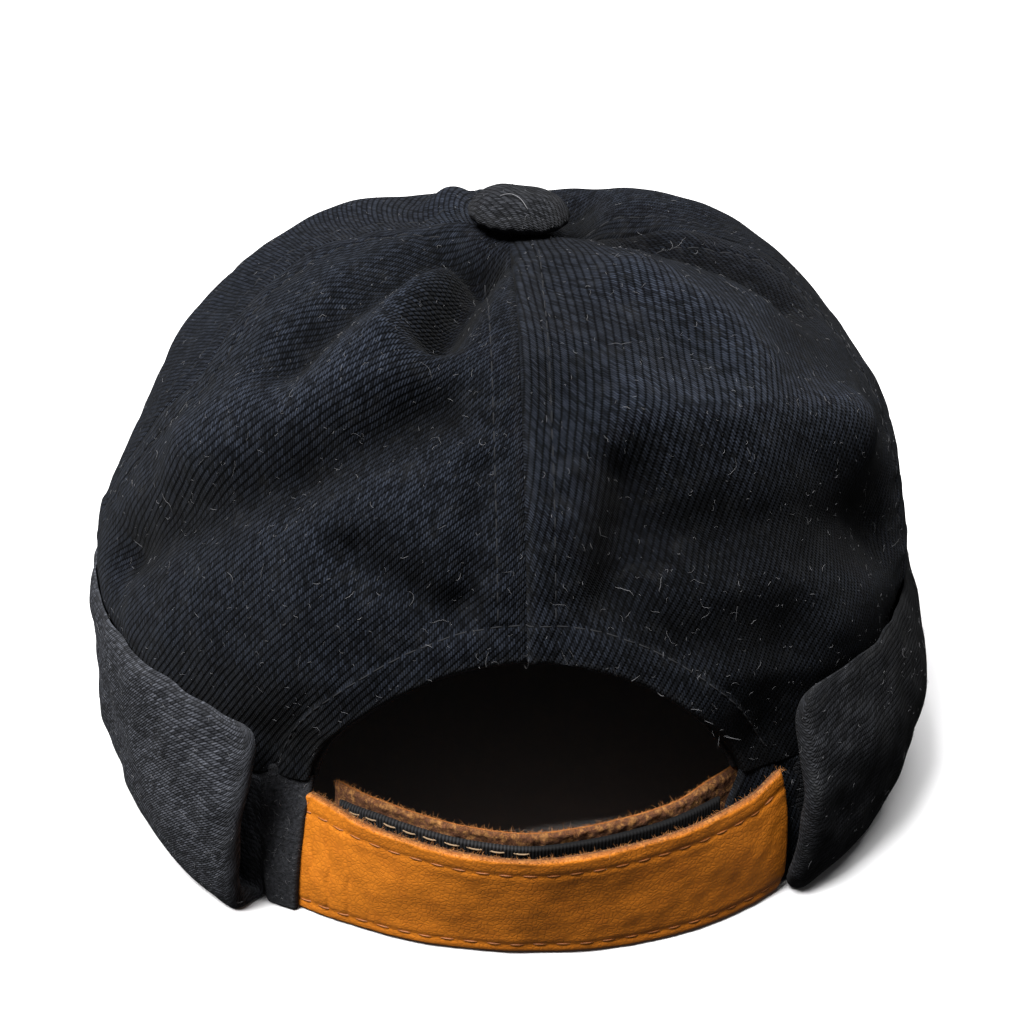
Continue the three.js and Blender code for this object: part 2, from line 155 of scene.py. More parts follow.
class CapSizes(bpy.types.PropertyGroup):
    """Sizes of the cap, in metres, and turns in degrees."""

    crown_height: length("Crown height", "From the rim to the top of the crown", 0.136)
    half_width: length("Half width", "From the middle to the side of the oval", 0.096)
    half_depth: length("Half depth", "From the middle to the back of the oval", 0.090)
    oval_power: number("Oval power", "2 is an ellipse, and more is squarer", 2.3)
    panel_puff: length("Panel puff", "How far a panel swells between its seams", 0.002)
    cloth_wall: length("Cloth wall", "Thickness of a crown panel", 0.0016)
    panel_gap: length("Panel gap", "Between two crown panels in the frame", 0.0003)
    seam_lap: length("Seam lap", "How far two sewn panels lap", 0.0002)
    stem_hole: length("Stem hole", "Radius of the hole under the button", 0.0045)
    hem_height: length("Hem height", "From the rim to the crown's lower edge", 0.033)
    opening_height: length("Opening height", "From the rim to the opening's top", 0.070)
    opening_left: number("Opening left", "Turn of the opening's left foot", 32.7)
    opening_right: number("Opening right", "Turn of the opening's right foot", 33.2)
    curve_left: number("Curve left", "1 rounds the opening's left half, and more draws it in", 1.5)
    curve_right: number("Curve right", "The same for its right half", 1.65)
    swell_left: length("Swell left", "How far the crown swells over the cuff at the left", 0.0020)
    swell_right: length("Swell right", "How far it swells at the right", 0.0026)
    facing_width: length("Facing width", "Of the strip inside the opening's edge", 0.008)
    facing_wall: length("Facing wall", "Thickness of that strip", 0.001)
    facing_shows: length("Facing shows", "How far it stands out of the opening", 0.0012)
    facing_gap: length("Facing gap", "Between the crown and the facing", 0.0005)
    cuff_height: length("Cuff height", "Of the turned-up band", 0.052)
    cuff_wall: length("Cuff wall", "Thickness of the cuff's outer ply", 0.003)
    cuff_space: length("Cuff space", "Between the cuff's two plies", 0.0012)
    cuff_left: number("Cuff left", "Turn of the cuff's left end", 40)
    cuff_right: number("Cuff right", "Turn of the cuff's right end", 41.5)
    spread_left: length("Spread left", "How far the cuff opens at its left end", 0.004)
    spread_right: length("Spread right", "How far it opens at its right end", 0.0015)
    cuff_gap: length("Cuff gap", "Between the crown and the cuff's top edge", 0.0003)
    cuff_lip: length("Cuff lip", "Thickness of the cuff's top edge", 0.0019)
    end_roll: number("End roll", "How much thicker the cuff's rolled ends are", 0.35)
    cuff_droop: length("Cuff droop", "How much lower the cuff's left corner lies", 0.0025)
    droop_run: number("Droop run", "Turn over which the cuff droops", 14)
    spread_run: number("Spread run", "Turn over which the cuff opens towards its ends", 26)
    lean_run: number("Lean run", "Turn over which the cuff's ends lean", 16)
    lean_left: number("Lean left", "Turn by which the cuff's left end leans at its top", 4.6)
    lean_right: number("Lean right", "Turn by which its right end leans back above its foot", 2)
    corner_left: number("Corner left", "Turn that rounds the cuff's left corner", 2)
    corner_right: number("Corner right", "Turn that rounds its right corner", 2.8)
    band_wall: length("Band wall", "Thickness of the cuff's inner ply", 0.0017)
    band_lap: length("Band lap", "How far the inner ply laps over the hem", 0.008)
    fold_floor: length("Fold floor", "Thickness of the fold under the cuff", 0.0019)
    tab_left: number("Tab left", "Turn of the left tab's edge", 33)
    tab_right: number("Tab right", "Turn of the right tab's edge", 30)
    tab_stand: length("Tab stand", "How far the left tab stands off the inner ply", 0.0009)
    tab_tuck: length("Tab tuck", "How far its top tucks in behind the crown's hem", 0.0018)
    groove: length("Groove", "Depth of the groove between the cuff and the left tab", 0.0016)
    groove_turn: number("Groove turn", "Turn of that groove's edge", 39.4)
    strap_width: length("Strap width", "Of both leather straps", 0.0295)
    leather: length("Leather", "Thickness of a strap", 0.0023)
    strap_left: number("Strap left", "Turn of the outer strap's left end", 38)
    strap_right: number("Strap right", "Turn of the outer strap's right end", 40)
    strap_rise: number("Strap rise", "How much taller the straps stand at their right end", 0.11)
    strap_reach: number("Strap reach", "Turn from the seam to either end of its table", 40)
    inner_left: number("Inner left", "Turn of the inner strap's free end", 31)
    inner_right: number("Inner right", "Turn of the inner strap's sewn end", 35)
    row_low: length("Lower row", "From the strap's lower edge to the stitches", 0.0027)
    row_high: length("Upper row", "From its upper edge to the stitches", 0.0042)
    strap_stitch: length("Strap stitch", "Length of a stitch in the leather", 0.0036)
    strap_stitch_gap: length("Strap stitch gap", "Between two stitches in the leather", 0.0015)
    tape_stitch: length("Tape stitch", "Length of a stitch in the tape", 0.0040)
    tape_stitch_gap: length("Tape stitch gap", "Between two stitches in the tape", 0.0011)
    layer_gap: length("Layer gap", "Between two layers of the adjuster", 0.0003)
    inner_tuck: length("Inner tuck", "How far the inner strap's sewn end lies behind the outer", 0.0082)
    inner_raise: length("Inner raise", "How much higher the inner strap lies", 0.0022)
    tape_width: length("Tape width", "Of the two tapes between the straps", 0.024)
    tape_thick: length("Tape thickness", "Of each tape", 0.0018)
    tape_low: length("Tape low", "From the straps' lower edge to the tapes'", 0.0026)
    tape_raise: length("Tape raise", "How much higher the inner strap's tape lies", 0.0032)
    rib: length("Rib", "From one rib of the tapes to the next", 0.00078)
    tape_left: number("Tape left", "Turn of the tapes' left end", 29)
    tape_right: number("Tape right", "Turn of the tapes' right end", 25)
    button_radius: length("Button radius", "Of the covered button", 0.0118)
    button_thick: length("Button thickness", "Of the covered button", 0.0088)
    button_shift: length("Button shift", "How far the button leans to the right", 0.0022)
    button_tilt: number("Button tilt", "Angle of that lean, in degrees", 4)
    seam_allowance: length("Seam allowance", "From a seam to the stitches beside it", 0.006)
    stitch: length("Stitch", "Length of a stitch in the cloth", 0.003)


class CapFinish(bpy.types.PropertyGroup):
    """Colours and weave of the cap."""

    yarn: length("Yarn", "Width of one yarn of the twill", 0.00046)
    float_run: length("Float", "Length of one float of the twill and the gap after it", 0.00184)
    twill: colour("Twill", "Black cotton of the crown", (0.0066, 0.0080, 0.0115))
    cuff: colour("Cuff", "Cotton of the cuff, a little faded", (0.0217, 0.0229, 0.0270))
    button: colour("Button", "Cotton of the button", (0.0155, 0.0163, 0.0190))
    tape: colour("Tape", "Fuzzy cloth of the tabs and the facing", (0.0240, 0.0248, 0.0285))
    lint: colour("Lint", "Loose fibres on the cloth", (0.20, 0.20, 0.21))
    leather: colour("Leather", "Grain side of the leather", (0.70, 0.212, 0.0155))
    raw_leather: colour("Raw leather", "Cut edges and flesh side", (0.20, 0.075, 0.030))
    golden_fibre: colour("Golden fibre", "Lighter patches of the flesh side", (0.45, 0.21, 0.06))
    leather_fibre: colour("Leather fibre", "Frayed edges of the straps", (0.42, 0.17, 0.045))
    leather_thread: colour("Leather thread", "Stitches in the leather", (0.30, 0.095, 0.018))
    black_thread: colour("Black thread", "Stitches in the crown", (0.0065, 0.0072, 0.0095))
    tape_thread: colour("Tape thread", "Long stitches in the tape", (0.26, 0.17, 0.095))
    tape_ground: colour("Tape ground", "Between the ribs of the tapes", (0.003, 0.003, 0.0033))
    tape_rib: colour("Tape rib", "Ribs of the tapes", (0.036, 0.036, 0.038))


class CapStage(bpy.types.PropertyGroup):
    """Floor, lights and camera."""

    floor: colour("Floor", "Pale floor", (0.86, 0.855, 0.86))
    key_turn: number("Key turn", "Degrees of the main light round the cap from the back seam", -47)
    key_rise: number("Key rise", "Degrees of the main light above the floor", 60)
    key_power: number("Key power", "Strength of the main light", 5.5)
    top_power: number("Top power", "Strength of the light overhead", 2.7)
    sky: number("Sky", "Strength of the light from all round", 0.07)
    distance: length("Distance", "From the camera to the middle of the cap", 0.5233)
    elevation: number("Elevation", "Degrees of the camera above the floor", 26.9)
    azimuth: number("Azimuth", "Degrees of the camera round the cap", -2.65)
    lens: number("Lens", "Focal length in millimetres", 74.53)
    aim: length("Aim", "Height that the camera points at", 0.0561)
    shift_x: number("Shift across", "Share of the frame that the lens shifts across", 0.0038)
    shift_y: number("Shift up", "Share of the frame that the lens shifts up", 0.0213)


def mix(a, b, share):
    """The value at a share of the way from a to b."""
    return a + (b - a) * share


def ease(share):
    """0 up to a share of 0, 1 from a share of 1, and a smooth rise between."""
    s = np.clip(share, 0, 1)
    return s * s * (3 - 2 * s)


def bump(x, wide):
    """A soft bump of height 1 where x is 0."""
    return np.exp(-((x / wide) ** 2))


def quarter_round(gap, radius, least):
    """Rises from a little over 0 at an edge to 1 at a radius from it, as a quarter circle does."""
    return np.sqrt(np.clip(1 - (1 - np.clip(gap / radius, 0, 1)) ** 2, least, 1))


def unit(vectors):
    """Vectors of length 1."""
    return vectors / np.maximum(np.linalg.norm(vectors, axis=-1, keepdims=True), 1e-12)


def table_at(column, level):
    """A smooth run through one column of a table with even steps of level."""
    last = len(column) - 1
    before = 2 * column[0] - column[1]
    after = 2 * column[-1] - column[-2]
    column = np.array((before, *column, after), float)
    x = np.clip(level, 0, 1) * last
    i = np.minimum(np.floor(x).astype(int), last - 1)
    f = x - i
    a, b, c, d = (column[i + k] for k in range(4))
    cubic = 3 * b - a - 3 * c + d
    return 0.5 * (2 * b + (c - a) * f + (2 * a - 5 * b + 4 * c - d) * f**2 + cubic * f**3)


def ripples(points, size, seed):
    """Gentle random waves through space, about size long and mostly between -1 and 1."""
    rng = np.random.default_rng(seed)
    waves = 18
    ways = unit(rng.normal(size=(waves, 3))) * (2 * math.pi / size)
    ways *= rng.uniform(0.6, 1.5, (waves, 1))
    starts = rng.uniform(0, 2 * math.pi, waves)
    return np.cos(points @ ways.T + starts).sum(-1) * math.sqrt(2 / waves) * 0.7


class Crown:
    """The shape that every piece of the cap follows."""

    def __init__(self, sizes):
        self.s = sizes
        self.shift = np.zeros(3)
        self.levels = np.linspace(0, 1, 4001)
        self.heights = table_at(WALL["rise"], self.levels) * sizes.crown_height
        seam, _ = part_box("crown_panel_back_right")
        low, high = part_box("button")
        self.shift = np.array([seam.x - sizes.panel_gap / 2, (low.y + high.y) / 2, 0])
        self.hem_level = self.level_at(sizes.hem_height)
        reach = self.wall(90 + 0 * self.levels, self.levels)[:, 0] - self.shift[0]
        self.top_level = self.levels[np.nonzero(reach >= sizes.stem_hole)[0][-1]]

    def level_at(self, height):
        """The level of the wall at a height over the rim."""
        return np.interp(height, self.heights, self.levels)

    def height_at(self, level):
        """The height over the rim at a level of the wall."""
        return np.interp(level, self.levels, self.heights)

    def around(self, turn, four):
        """One value from four directions, blended round the head."""
        back = np.cos(turn * DEGREE)
        right = np.sin(turn * DEGREE)
        return (
            four["back"] * np.maximum(back, 0) ** 2
            + four["front"] * np.maximum(-back, 0) ** 2
            + four["right"] * np.maximum(right, 0) ** 2
            + four["left"] * np.maximum(-right, 0) ** 2
        )

    def wall(self, turn, level):
        """The smooth outer surface, without folds."""
        side = np.sin(turn * DEGREE)
        back = np.cos(turn * DEGREE)
        power = self.s.oval_power
        spread = (np.abs(side) / self.s.half_width) ** power
        spread = spread + (np.abs(back) / self.s.half_depth) ** power
        columns = {name: table_at(WALL[name], level) for name in ("back", "left", "front", "right")}
        radius = spread ** (-1 / power) * self.around(turn, columns)
        height = table_at(WALL["rise"], level) * self.s.crown_height
        return np.stack([radius * side, -radius * back, height + 0 * radius], -1) + self.shift

    def outward(self, turn, level):
        """The way that the smooth wall faces."""
        step = 0.004
        low = np.maximum(level - step, 0)
        high = np.minimum(level + step, 1 - step)
        middle = np.minimum(level, high)
        up = self.wall(turn, high) - self.wall(turn, low)
        across = self.wall(turn + 1, middle) - self.wall(turn - 1, middle)
        normal = unit(np.cross(across, up))
        normal[..., 2] *= ease(self.wall(turn, level)[..., 2] / self.s.hem_height)
        return unit(normal)

    def seam_turns(self, level):
        """The turns of the five seams that bound the four panels, from the left side seam."""
        left = table_at(SIDE_SEAMS["left"], level)
        right = table_at(SIDE_SEAMS["right"], level)
        return np.stack([left, 0 * left, right, 0 * left + 180, left + 360])

    def between_seams(self, turn, level):
        """0 at a seam and 1 midway between two."""
        seams = self.seam_turns(level)
        whole = (turn - seams[0]) % 360 + seams[0]
        panel = (whole >= seams[1]) * 1 + (whole >= seams[2]) + (whole >= seams[3])
        start = np.choose(panel, seams[:4])
        end = np.choose(panel, seams[1:])
        return np.sin(math.pi * (whole - start) / (end - start)) ** 2

    def relief(self, turn, level):
        """How far folds and puffed panels move the wall outwards."""
        point = self.wall(turn, level)
        out = np.zeros(point.shape[:-1])
        for _, turn_a, level_a, turn_b, level_b, wide, deep in FOLDS:
            a, b = self.wall(np.array([turn_a, turn_b]), np.array([level_a, level_b]))
            run = b - a
            share = np.clip((point - a) @ run / (run @ run), 0, 1)
            gap = np.linalg.norm(point - a - share[..., None] * run, axis=-1)
            out += deep * bump(gap, wide * self.s.crown_height)
        out *= self.s.crown_height
        puffed = ease((level - 0.4) / 0.2) * (1 - ease((level - 0.9) / 0.085))
        out += self.s.panel_puff * self.between_seams(turn, level) * puffed
        return out * np.minimum(point[..., 2] / self.s.hem_height, 1)

    def swell(self, turn, height):
        """How far the crown swells over the top of the cuff at the sides."""
        side = np.sin(turn * DEGREE)
        most = np.where(side > 0, self.s.swell_right, self.s.swell_left)
        return most * side**2 * bump(height - 0.060, 0.012)

    def place(self, turn, level, out=0.0, relief_share=1.0):
        """A point of the folded wall, moved out by a distance."""
        turn, level = np.broadcast_arrays(np.asarray(turn, float), np.asarray(level, float))
        lift = out + relief_share * self.relief(turn, level)
        return self.wall(turn, level) + self.outward(turn, level) * lift[..., None]

    def opening_edge(self, angle, grow=0.0):
        """Turn and height of the opening's edge, from its left foot at -90 to its right at 90."""
        left = angle < 0
        foot = np.where(left, self.s.opening_left, self.s.opening_right)
        foot = foot + grow / (self.s.half_depth * DEGREE)
        curve = np.where(left, self.s.curve_left, self.s.curve_right)
        shape = np.maximum(np.cos(angle * DEGREE), 0) ** curve
        rise = self.s.opening_height + grow - self.s.hem_height
        return foot * np.sin(angle * DEGREE), self.s.hem_height + rise * shape

    def lower_edge(self, turn):
        """The lowest height of the crown: the opening's edge, or the hem beside it."""
        foot = np.where(turn < 0, self.s.opening_left, self.s.opening_right)
        angle = np.arcsin(np.clip(turn / foot, -1, 1)) / DEGREE
        _, height = self.opening_edge(angle)
        return np.where(np.abs(turn) >= foot, self.s.hem_height, height)

    def climb(self, turn):
        """The length up the wall at a turn, at each of self.levels."""
        return walked_along(self.wall(np.full_like(self.levels, turn), self.levels))

    def gore(self, turn, level, centre):
        """Where a point lies on a panel laid flat, from the panel's middle at its rim."""
        off_axis = self.wall(turn, level) - self.shift
        across = (turn - centre) * DEGREE * np.hypot(off_axis[..., 0], off_axis[..., 1])
        return np.stack([across, np.interp(level, self.levels, self.climb(centre))], -1)

    def beside_seam(self, turn, level, seam):
        """Distance from a seam, positive to its right, and the crown's radius at the seam."""
        step = 0.01
        at = self.seam_turns(level)[seam]
        on = self.wall(at, level) - self.shift
        radius = np.hypot(on[..., 0], on[..., 1])
        higher = np.minimum(level + step, 1)
        lower = np.maximum(level - step, 0)
        lean = self.seam_turns(higher)[seam] - self.seam_turns(lower)[seam]
        lean = lean * DEGREE * radius
        climb = np.linalg.norm(self.wall(at, higher) - self.wall(at, lower), axis=-1)
        off = (turn - at + 180) % 360 - 180
        return off * DEGREE * radius * climb / np.hypot(climb, lean), radius

    def cloth(self, turn, level):
        """How far seams, hem and rumples lift the cloth, how worn it is there, and its painted light and
        shade.
        """
        s = self.s
        point = self.wall(turn, level)
        climb = np.interp(level, self.levels, self.climb(0))
        lift = 0.5 * MM * ripples(point, 0.034, 3) + 0.2 * MM * ripples(point, 0.013, 4)
        lift += self.swell(turn, point[..., 2])
        worn = np.zeros_like(lift)
        for seam in range(4):
            off, radius = self.beside_seam(turn, level, seam)
            shown = ease((radius - 0.009) / 0.007)
            side = np.abs(off) - s.seam_allowance
            lift += 0.35 * MM * shown * (1 - ease(side / (2.4 * MM) + 0.5))
            lift -= 0.22 * MM * shown * bump(side, 0.5 * MM)
            lift -= 0.45 * MM * shown * bump(off, 0.4 * MM)
            wave = np.cos(climb * 2 * math.pi / 0.0068 + 1.7 * np.sin(climb / 0.011) + seam)
            lift += 0.2 * MM * shown * wave * bump(side, 0.0034)
            worn += 0.25 * shown * bump(np.abs(off) - 1.1 * MM, 0.7 * MM)
            if seam == 1:
                lapped = np.where(off > 0, 0.7 * bump(off - 1.6 * MM, 0.003), -0.5 * bump(off, 0.002))
                lift += MM * shown * lapped
        off = self.off_opening(point)
        side = off - s.facing_width
        lift += 0.4 * MM * (1 - ease(side / (1.2 * MM) + 0.5))
        lift -= 0.32 * MM * bump(side, 0.5 * MM)
        lift += 0.22 * MM * ripples(point, 0.008, 5) * bump(side, 0.004)
        lift -= 0.55 * MM * bump(off, 0.45 * MM)
        worn += 0.6 * bump(off - 0.6 * MM, 0.8 * MM)
        # Painted shade: darker in the folds' hollows and towards the right side, away from the key light;
        # painted light on the ridges and towards the left
        painted_shade = (self.relief(turn, level) + 0.8 * lift) / (4 * MM) - 0.35 * np.sin(turn * DEGREE)
        painted_shade = np.clip(painted_shade, -1.2, 1.2)
        return lift, {"worn": worn, "painted_shade": painted_shade}

    def off_opening(self, points):
        """Distance from the opening's edge."""
        turn, height = self.opening_edge(np.linspace(-90, 90, 241))
        edge = self.wall(turn, self.level_at(height))
        flat = points.reshape(-1, 3)
        off = np.full(len(flat), 0.05)
        near = np.nonzero((flat[:, 1] < -0.02) & (flat[:, 2] < 0.1))[0]
        for chunk in np.array_split(near, max(1, len(near) // 4000)):
            gaps = np.linalg.norm(flat[chunk, None] - edge[None], axis=-1)
            off[chunk] = gaps.min(1)
        return off.reshape(points.shape[:-1])


def mesh_piece(name, points, faces, coat, cloth=None, marks=None, flat_over=None):
    """A mesh object that rides on the cap. cloth is a UV map in metres, and marks are values."""
    mesh = bpy.data.meshes.new(name)
    points = np.asarray(points, np.float32).reshape(-1, 3)
    faces = np.asarray(faces, np.int32)
    mesh.vertices.add(len(points))
    mesh.vertices.foreach_set("co", points.ravel())
    mesh.loops.add(faces.size)
    mesh.loops.foreach_set("vertex_index", faces.ravel())
    mesh.polygons.add(len(faces))
    mesh.polygons.foreach_set("loop_start", np.arange(0, faces.size, faces.shape[1], dtype=np.int32))
    mesh.update(calc_edges=True)
    if cloth is not None:
        layer = mesh.uv_layers.new(name="cloth")
        corners = np.asarray(cloth, np.float32).reshape(-1, 2)[faces.ravel()]
        layer.data.foreach_set("uv", corners.ravel())
    for mark, values in (marks or {}).items():
        layer = mesh.attributes.new(mark, "FLOAT", "POINT")
        layer.data.foreach_set("value", np.asarray(values, np.float32).ravel())
    mesh.materials.append(coat)
    mesh.validate()
    piece = bpy.data.objects.new(name, mesh)
    bpy.context.scene.collection.objects.link(piece)
    mesh.shade_smooth()
    if flat_over:
        select_only(piece)
        bpy.ops.object.shade_smooth_by_angle(angle=flat_over * DEGREE)
    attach(piece, "root")
    return piece


def select_only(piece):
    """Selects a piece alone and makes it active."""
    for other in bpy.context.selected_objects:
        other.select_set(False)
    piece.select_set(True)
    bpy.context.view_layer.objects.active = piece


def slab_faces(rows, columns):
    """Faces of a closed sheet whose outer grid comes first and whose inner grid follows."""
    outer, inner = np.arange(rows * columns * 2).reshape(2, rows, columns)

    def quads(grid):
        corners = [grid[:-1, :-1], grid[:-1, 1:], grid[1:, 1:], grid[1:, :-1]]
        return np.stack(corners, -1).reshape(-1, 4)

    def strip(a, b):
        return np.stack([a[:-1], b[:-1], b[1:], a[1:]], -1)

    return np.concatenate([
        quads(outer),
        quads(inner)[:, ::-1],
        strip(outer[0], inner[0]),
        strip(inner[-1], outer[-1]),
        strip(inner[:, 0], outer[:, 0]),
        strip(outer[:, -1], inner[:, -1]),
    ])


def sheet_piece(name, outer, inner, coat, cloth, marks=None):
    """A closed sheet between an outer and an inner grid of points."""
    rows, columns = outer.shape[:2]
    both = {mark: np.stack([values, values]) for mark, values in (marks or {}).items()}
    return mesh_piece(
        name, np.stack([outer, inner]), slab_faces(rows, columns), coat,
        np.stack([cloth, cloth]), both, flat_over=50,
    )


def tubes(name, paths, normals, radii, sides, coat):
    """Many thin threads in one mesh. radii holds the radius at each point of a path."""
    along = unit(np.gradient(paths, axis=1))
    side = unit(np.cross(along, normals))
    up = unit(np.cross(side, along))
    angles = np.arange(sides) * 2 * math.pi / sides
    ring = np.cos(angles)[:, None] * side[:, :, None] + np.sin(angles)[:, None] * up[:, :, None]
    points = paths[:, :, None] + ring * np.broadcast_to(radii, paths.shape[:2])[:, :, None, None]
    count, steps = paths.shape[:2]
    rings = np.arange(count * steps * sides).reshape(count, steps, sides)
    turned = np.roll(rings, -1, axis=2)
    walls = np.stack([rings[:, :-1], turned[:, :-1], turned[:, 1:], rings[:, 1:]], -1)
    first = rings[:, 0]
    last = rings[:, -1]
    caps = []
    for k in range(1, sides - 2, 2):
        caps.append(np.stack([first[:, 0], first[:, k + 2], first[:, k + 1], first[:, k]], -1))
        caps.append(np.stack([last[:, 0], last[:, k], last[:, k + 1], last[:, k + 2]], -1))
    faces = np.concatenate([walls.reshape(-1, 4), *caps])
    return mesh_piece(name, points, faces, coat)


def walked_along(points):
    """The length along a line of points, at each of them."""
    return np.concatenate([[0], np.cumsum(np.linalg.norm(np.diff(points, axis=0), axis=1))])


def sampled(values, walked, at):
    """Rows of values at lengths along the line that they belong to."""
    return np.stack([np.interp(at, walked, column) for column in values.T], -1)


def lay_stitches(name, lines, run, gap, radius, proud, coat, seed=1):
    """Stitches along lines of points and normals, each dipping in at its two ends and standing
    proud in its middle by a share of its radius."""
    rng = np.random.default_rng(seed)
    shares = np.array([0, 0.12, 0.36, 0.64, 0.88, 1])
    lift = radius * np.array([-1.6, -0.3, proud, proud, -0.3, -1.6])
    paths = []
    ups = []
    for points, normals in lines:
        walked = walked_along(points)
        starts = np.arange(gap, walked[-1] - run, run + gap)
        for start in starts + rng.uniform(-0.12, 0.12, len(starts)) * gap:
            at = start + run * shares
            line = sampled(points, walked, at)
            up = unit(sampled(normals, walked, at))
            along = unit(np.gradient(line, axis=0))
            slant = rng.normal(0, 0.12) * radius * np.linspace(-1, 1, len(shares))
            paths.append(line + up * lift[:, None] + np.cross(up, along) * slant[:, None])
            ups.append(up)
    radii = radius * np.array([0.6, 0.95, 1, 1, 0.95, 0.6])
    return tubes(name, np.array(paths), np.array(ups), radii, 6, coat)


def fray(name, edges, count, run, thick, coat):
    """Short loose fibres that stand up along edges, count of them on each."""
    rng = np.random.default_rng(9)
    paths = []
    sides = []
    share = np.linspace(0, 1, 6)[:, None]
    for edge in edges:
        at = rng.uniform(0, len(edge) - 1.001, count)
        k = at.astype(int)
        start = mix(edge[k], edge[k + 1], (at - k)[:, None])
        way = unit(rng.normal(0, 0.5, (count, 3)) + [0, -0.35, 0.8])
        bend = rng.normal(0, 0.45, (count, 3))
        reach = run * rng.uniform(0.3, 1.3, (count, 1, 1))
        paths.append(start[:, None] + (way[:, None] * share + bend[:, None] * share**2) * reach)
        sides.append(np.repeat(unit(np.cross(way, bend))[:, None], len(share), axis=1))
    radii = thick * np.array([1, 1, 0.9, 0.8, 0.6, 0.3])
    return tubes(name, np.concatenate(paths), np.concatenate(sides), radii, 3, coat)


class Wire:
    """A socket in a material that Python's arithmetic works on."""

    def __init__(self, shade, socket):
        self.shade = shade
        self.socket = socket

    def math(self, operation, *others):
        return self.shade.math(operation, self, *others)

    def __add__(self, other):
        return self.math("ADD", other)

    __radd__ = __add__

    def __sub__(self, other):
        return self.math("SUBTRACT", other)

    def __rsub__(self, other):
        return self.shade.math("SUBTRACT", other, self)

    def __mul__(self, other):
        return self.math("MULTIPLY", other)

    __rmul__ = __mul__

    def __truediv__(self, other):
        return self.math("DIVIDE", other)

    def __pow__(self, other):
        return self.math("POWER", other)


class Shade:
    """A material whose nodes are made from Python expressions."""

    def __init__(self, name, **surface):
        self.material = bpy.data.materials.new(name)
        self.material.use_nodes = True
        self.tree = self.material.node_tree
        self.tree.nodes.clear()
        output = self.tree.nodes.new("ShaderNodeOutputMaterial")
        self.surface = self.tree.nodes.new("ShaderNodeBsdfPrincipled")
        self.tree.links.new(self.surface.outputs[0], output.inputs[0])
        for socket, value in surface.items():
            self.feed(socket.replace("_", " "), value)

    def feed(self, socket, value):
        """Sets or links a socket of the surface."""
        self.fill(self.surface.inputs[socket], value)

    def fill(self, socket, value):
        if isinstance(value, Wire):
            self.tree.links.new(value.socket, socket)
        else:
            socket.default_value = value

    def node(self, kind, settings=None, inputs=None, output=0):
        """Adds a node. settings are set first, and inputs holds its sockets' values or links."""
        made = self.tree.nodes.new(kind)
        for name, value in (settings or {}).items():
            setattr(made, name, value)
        for socket, value in (inputs or {}).items():
            self.fill(made.inputs[socket], value)
        if isinstance(output, tuple):
            return [Wire(self, made.outputs[k]) for k in output]
        return Wire(self, made.outputs[output])

    def math(self, operation, *values):
        return self.node("ShaderNodeMath", {"operation": operation}, dict(enumerate(values)))

    def smooth(self, value, low, high, to_low=0.0, to_high=1.0):
        """to_low where value is under low, to_high where it is over high, and smooth between."""
        inputs = {"Value": value, 1: low, 2: high, 3: to_low, 4: to_high}
        return self.node("ShaderNodeMapRange", {"interpolation_type": "SMOOTHSTEP"}, inputs)

    def noise(self, where, size, detail=2.0, roughness=0.5):
        """Noise from 0 to 1 with clouds about size metres across."""
        inputs = {"Vector": where, "Scale": 1 / size, "Detail": detail, "Roughness": roughness}
        return self.node("ShaderNodeTexNoise", None, inputs)

    def blend(self, a, b, factor):
        """A colour between two colours."""
        return self.node("ShaderNodeMix", {"data_type": "RGBA"}, {0: factor, 6: a, 7: b}, 2)

    def brighten(self, tint, factor):
        """A colour times a number."""
        tint = tint if isinstance(tint, Wire) else tint[:3]
        return self.node("ShaderNodeVectorMath", {"operation": "SCALE"}, {0: tint, 3: factor})

    def raised(self, height, distance, strength=1.0):
        """A normal bent by a height from 0 to 1 that stands for distance metres."""
        inputs = {"Strength": strength, "Distance": distance, "Height": height}
        return self.node("ShaderNodeBump", None, inputs)

    def mark(self, name):
        """A value that the piece's mesh carries."""
        return self.node("ShaderNodeAttribute", {"attribute_name": name}, None, 2)


def rgba(value):
    """A colour with its alpha, as a socket takes it."""
    return (*value, 1.0)


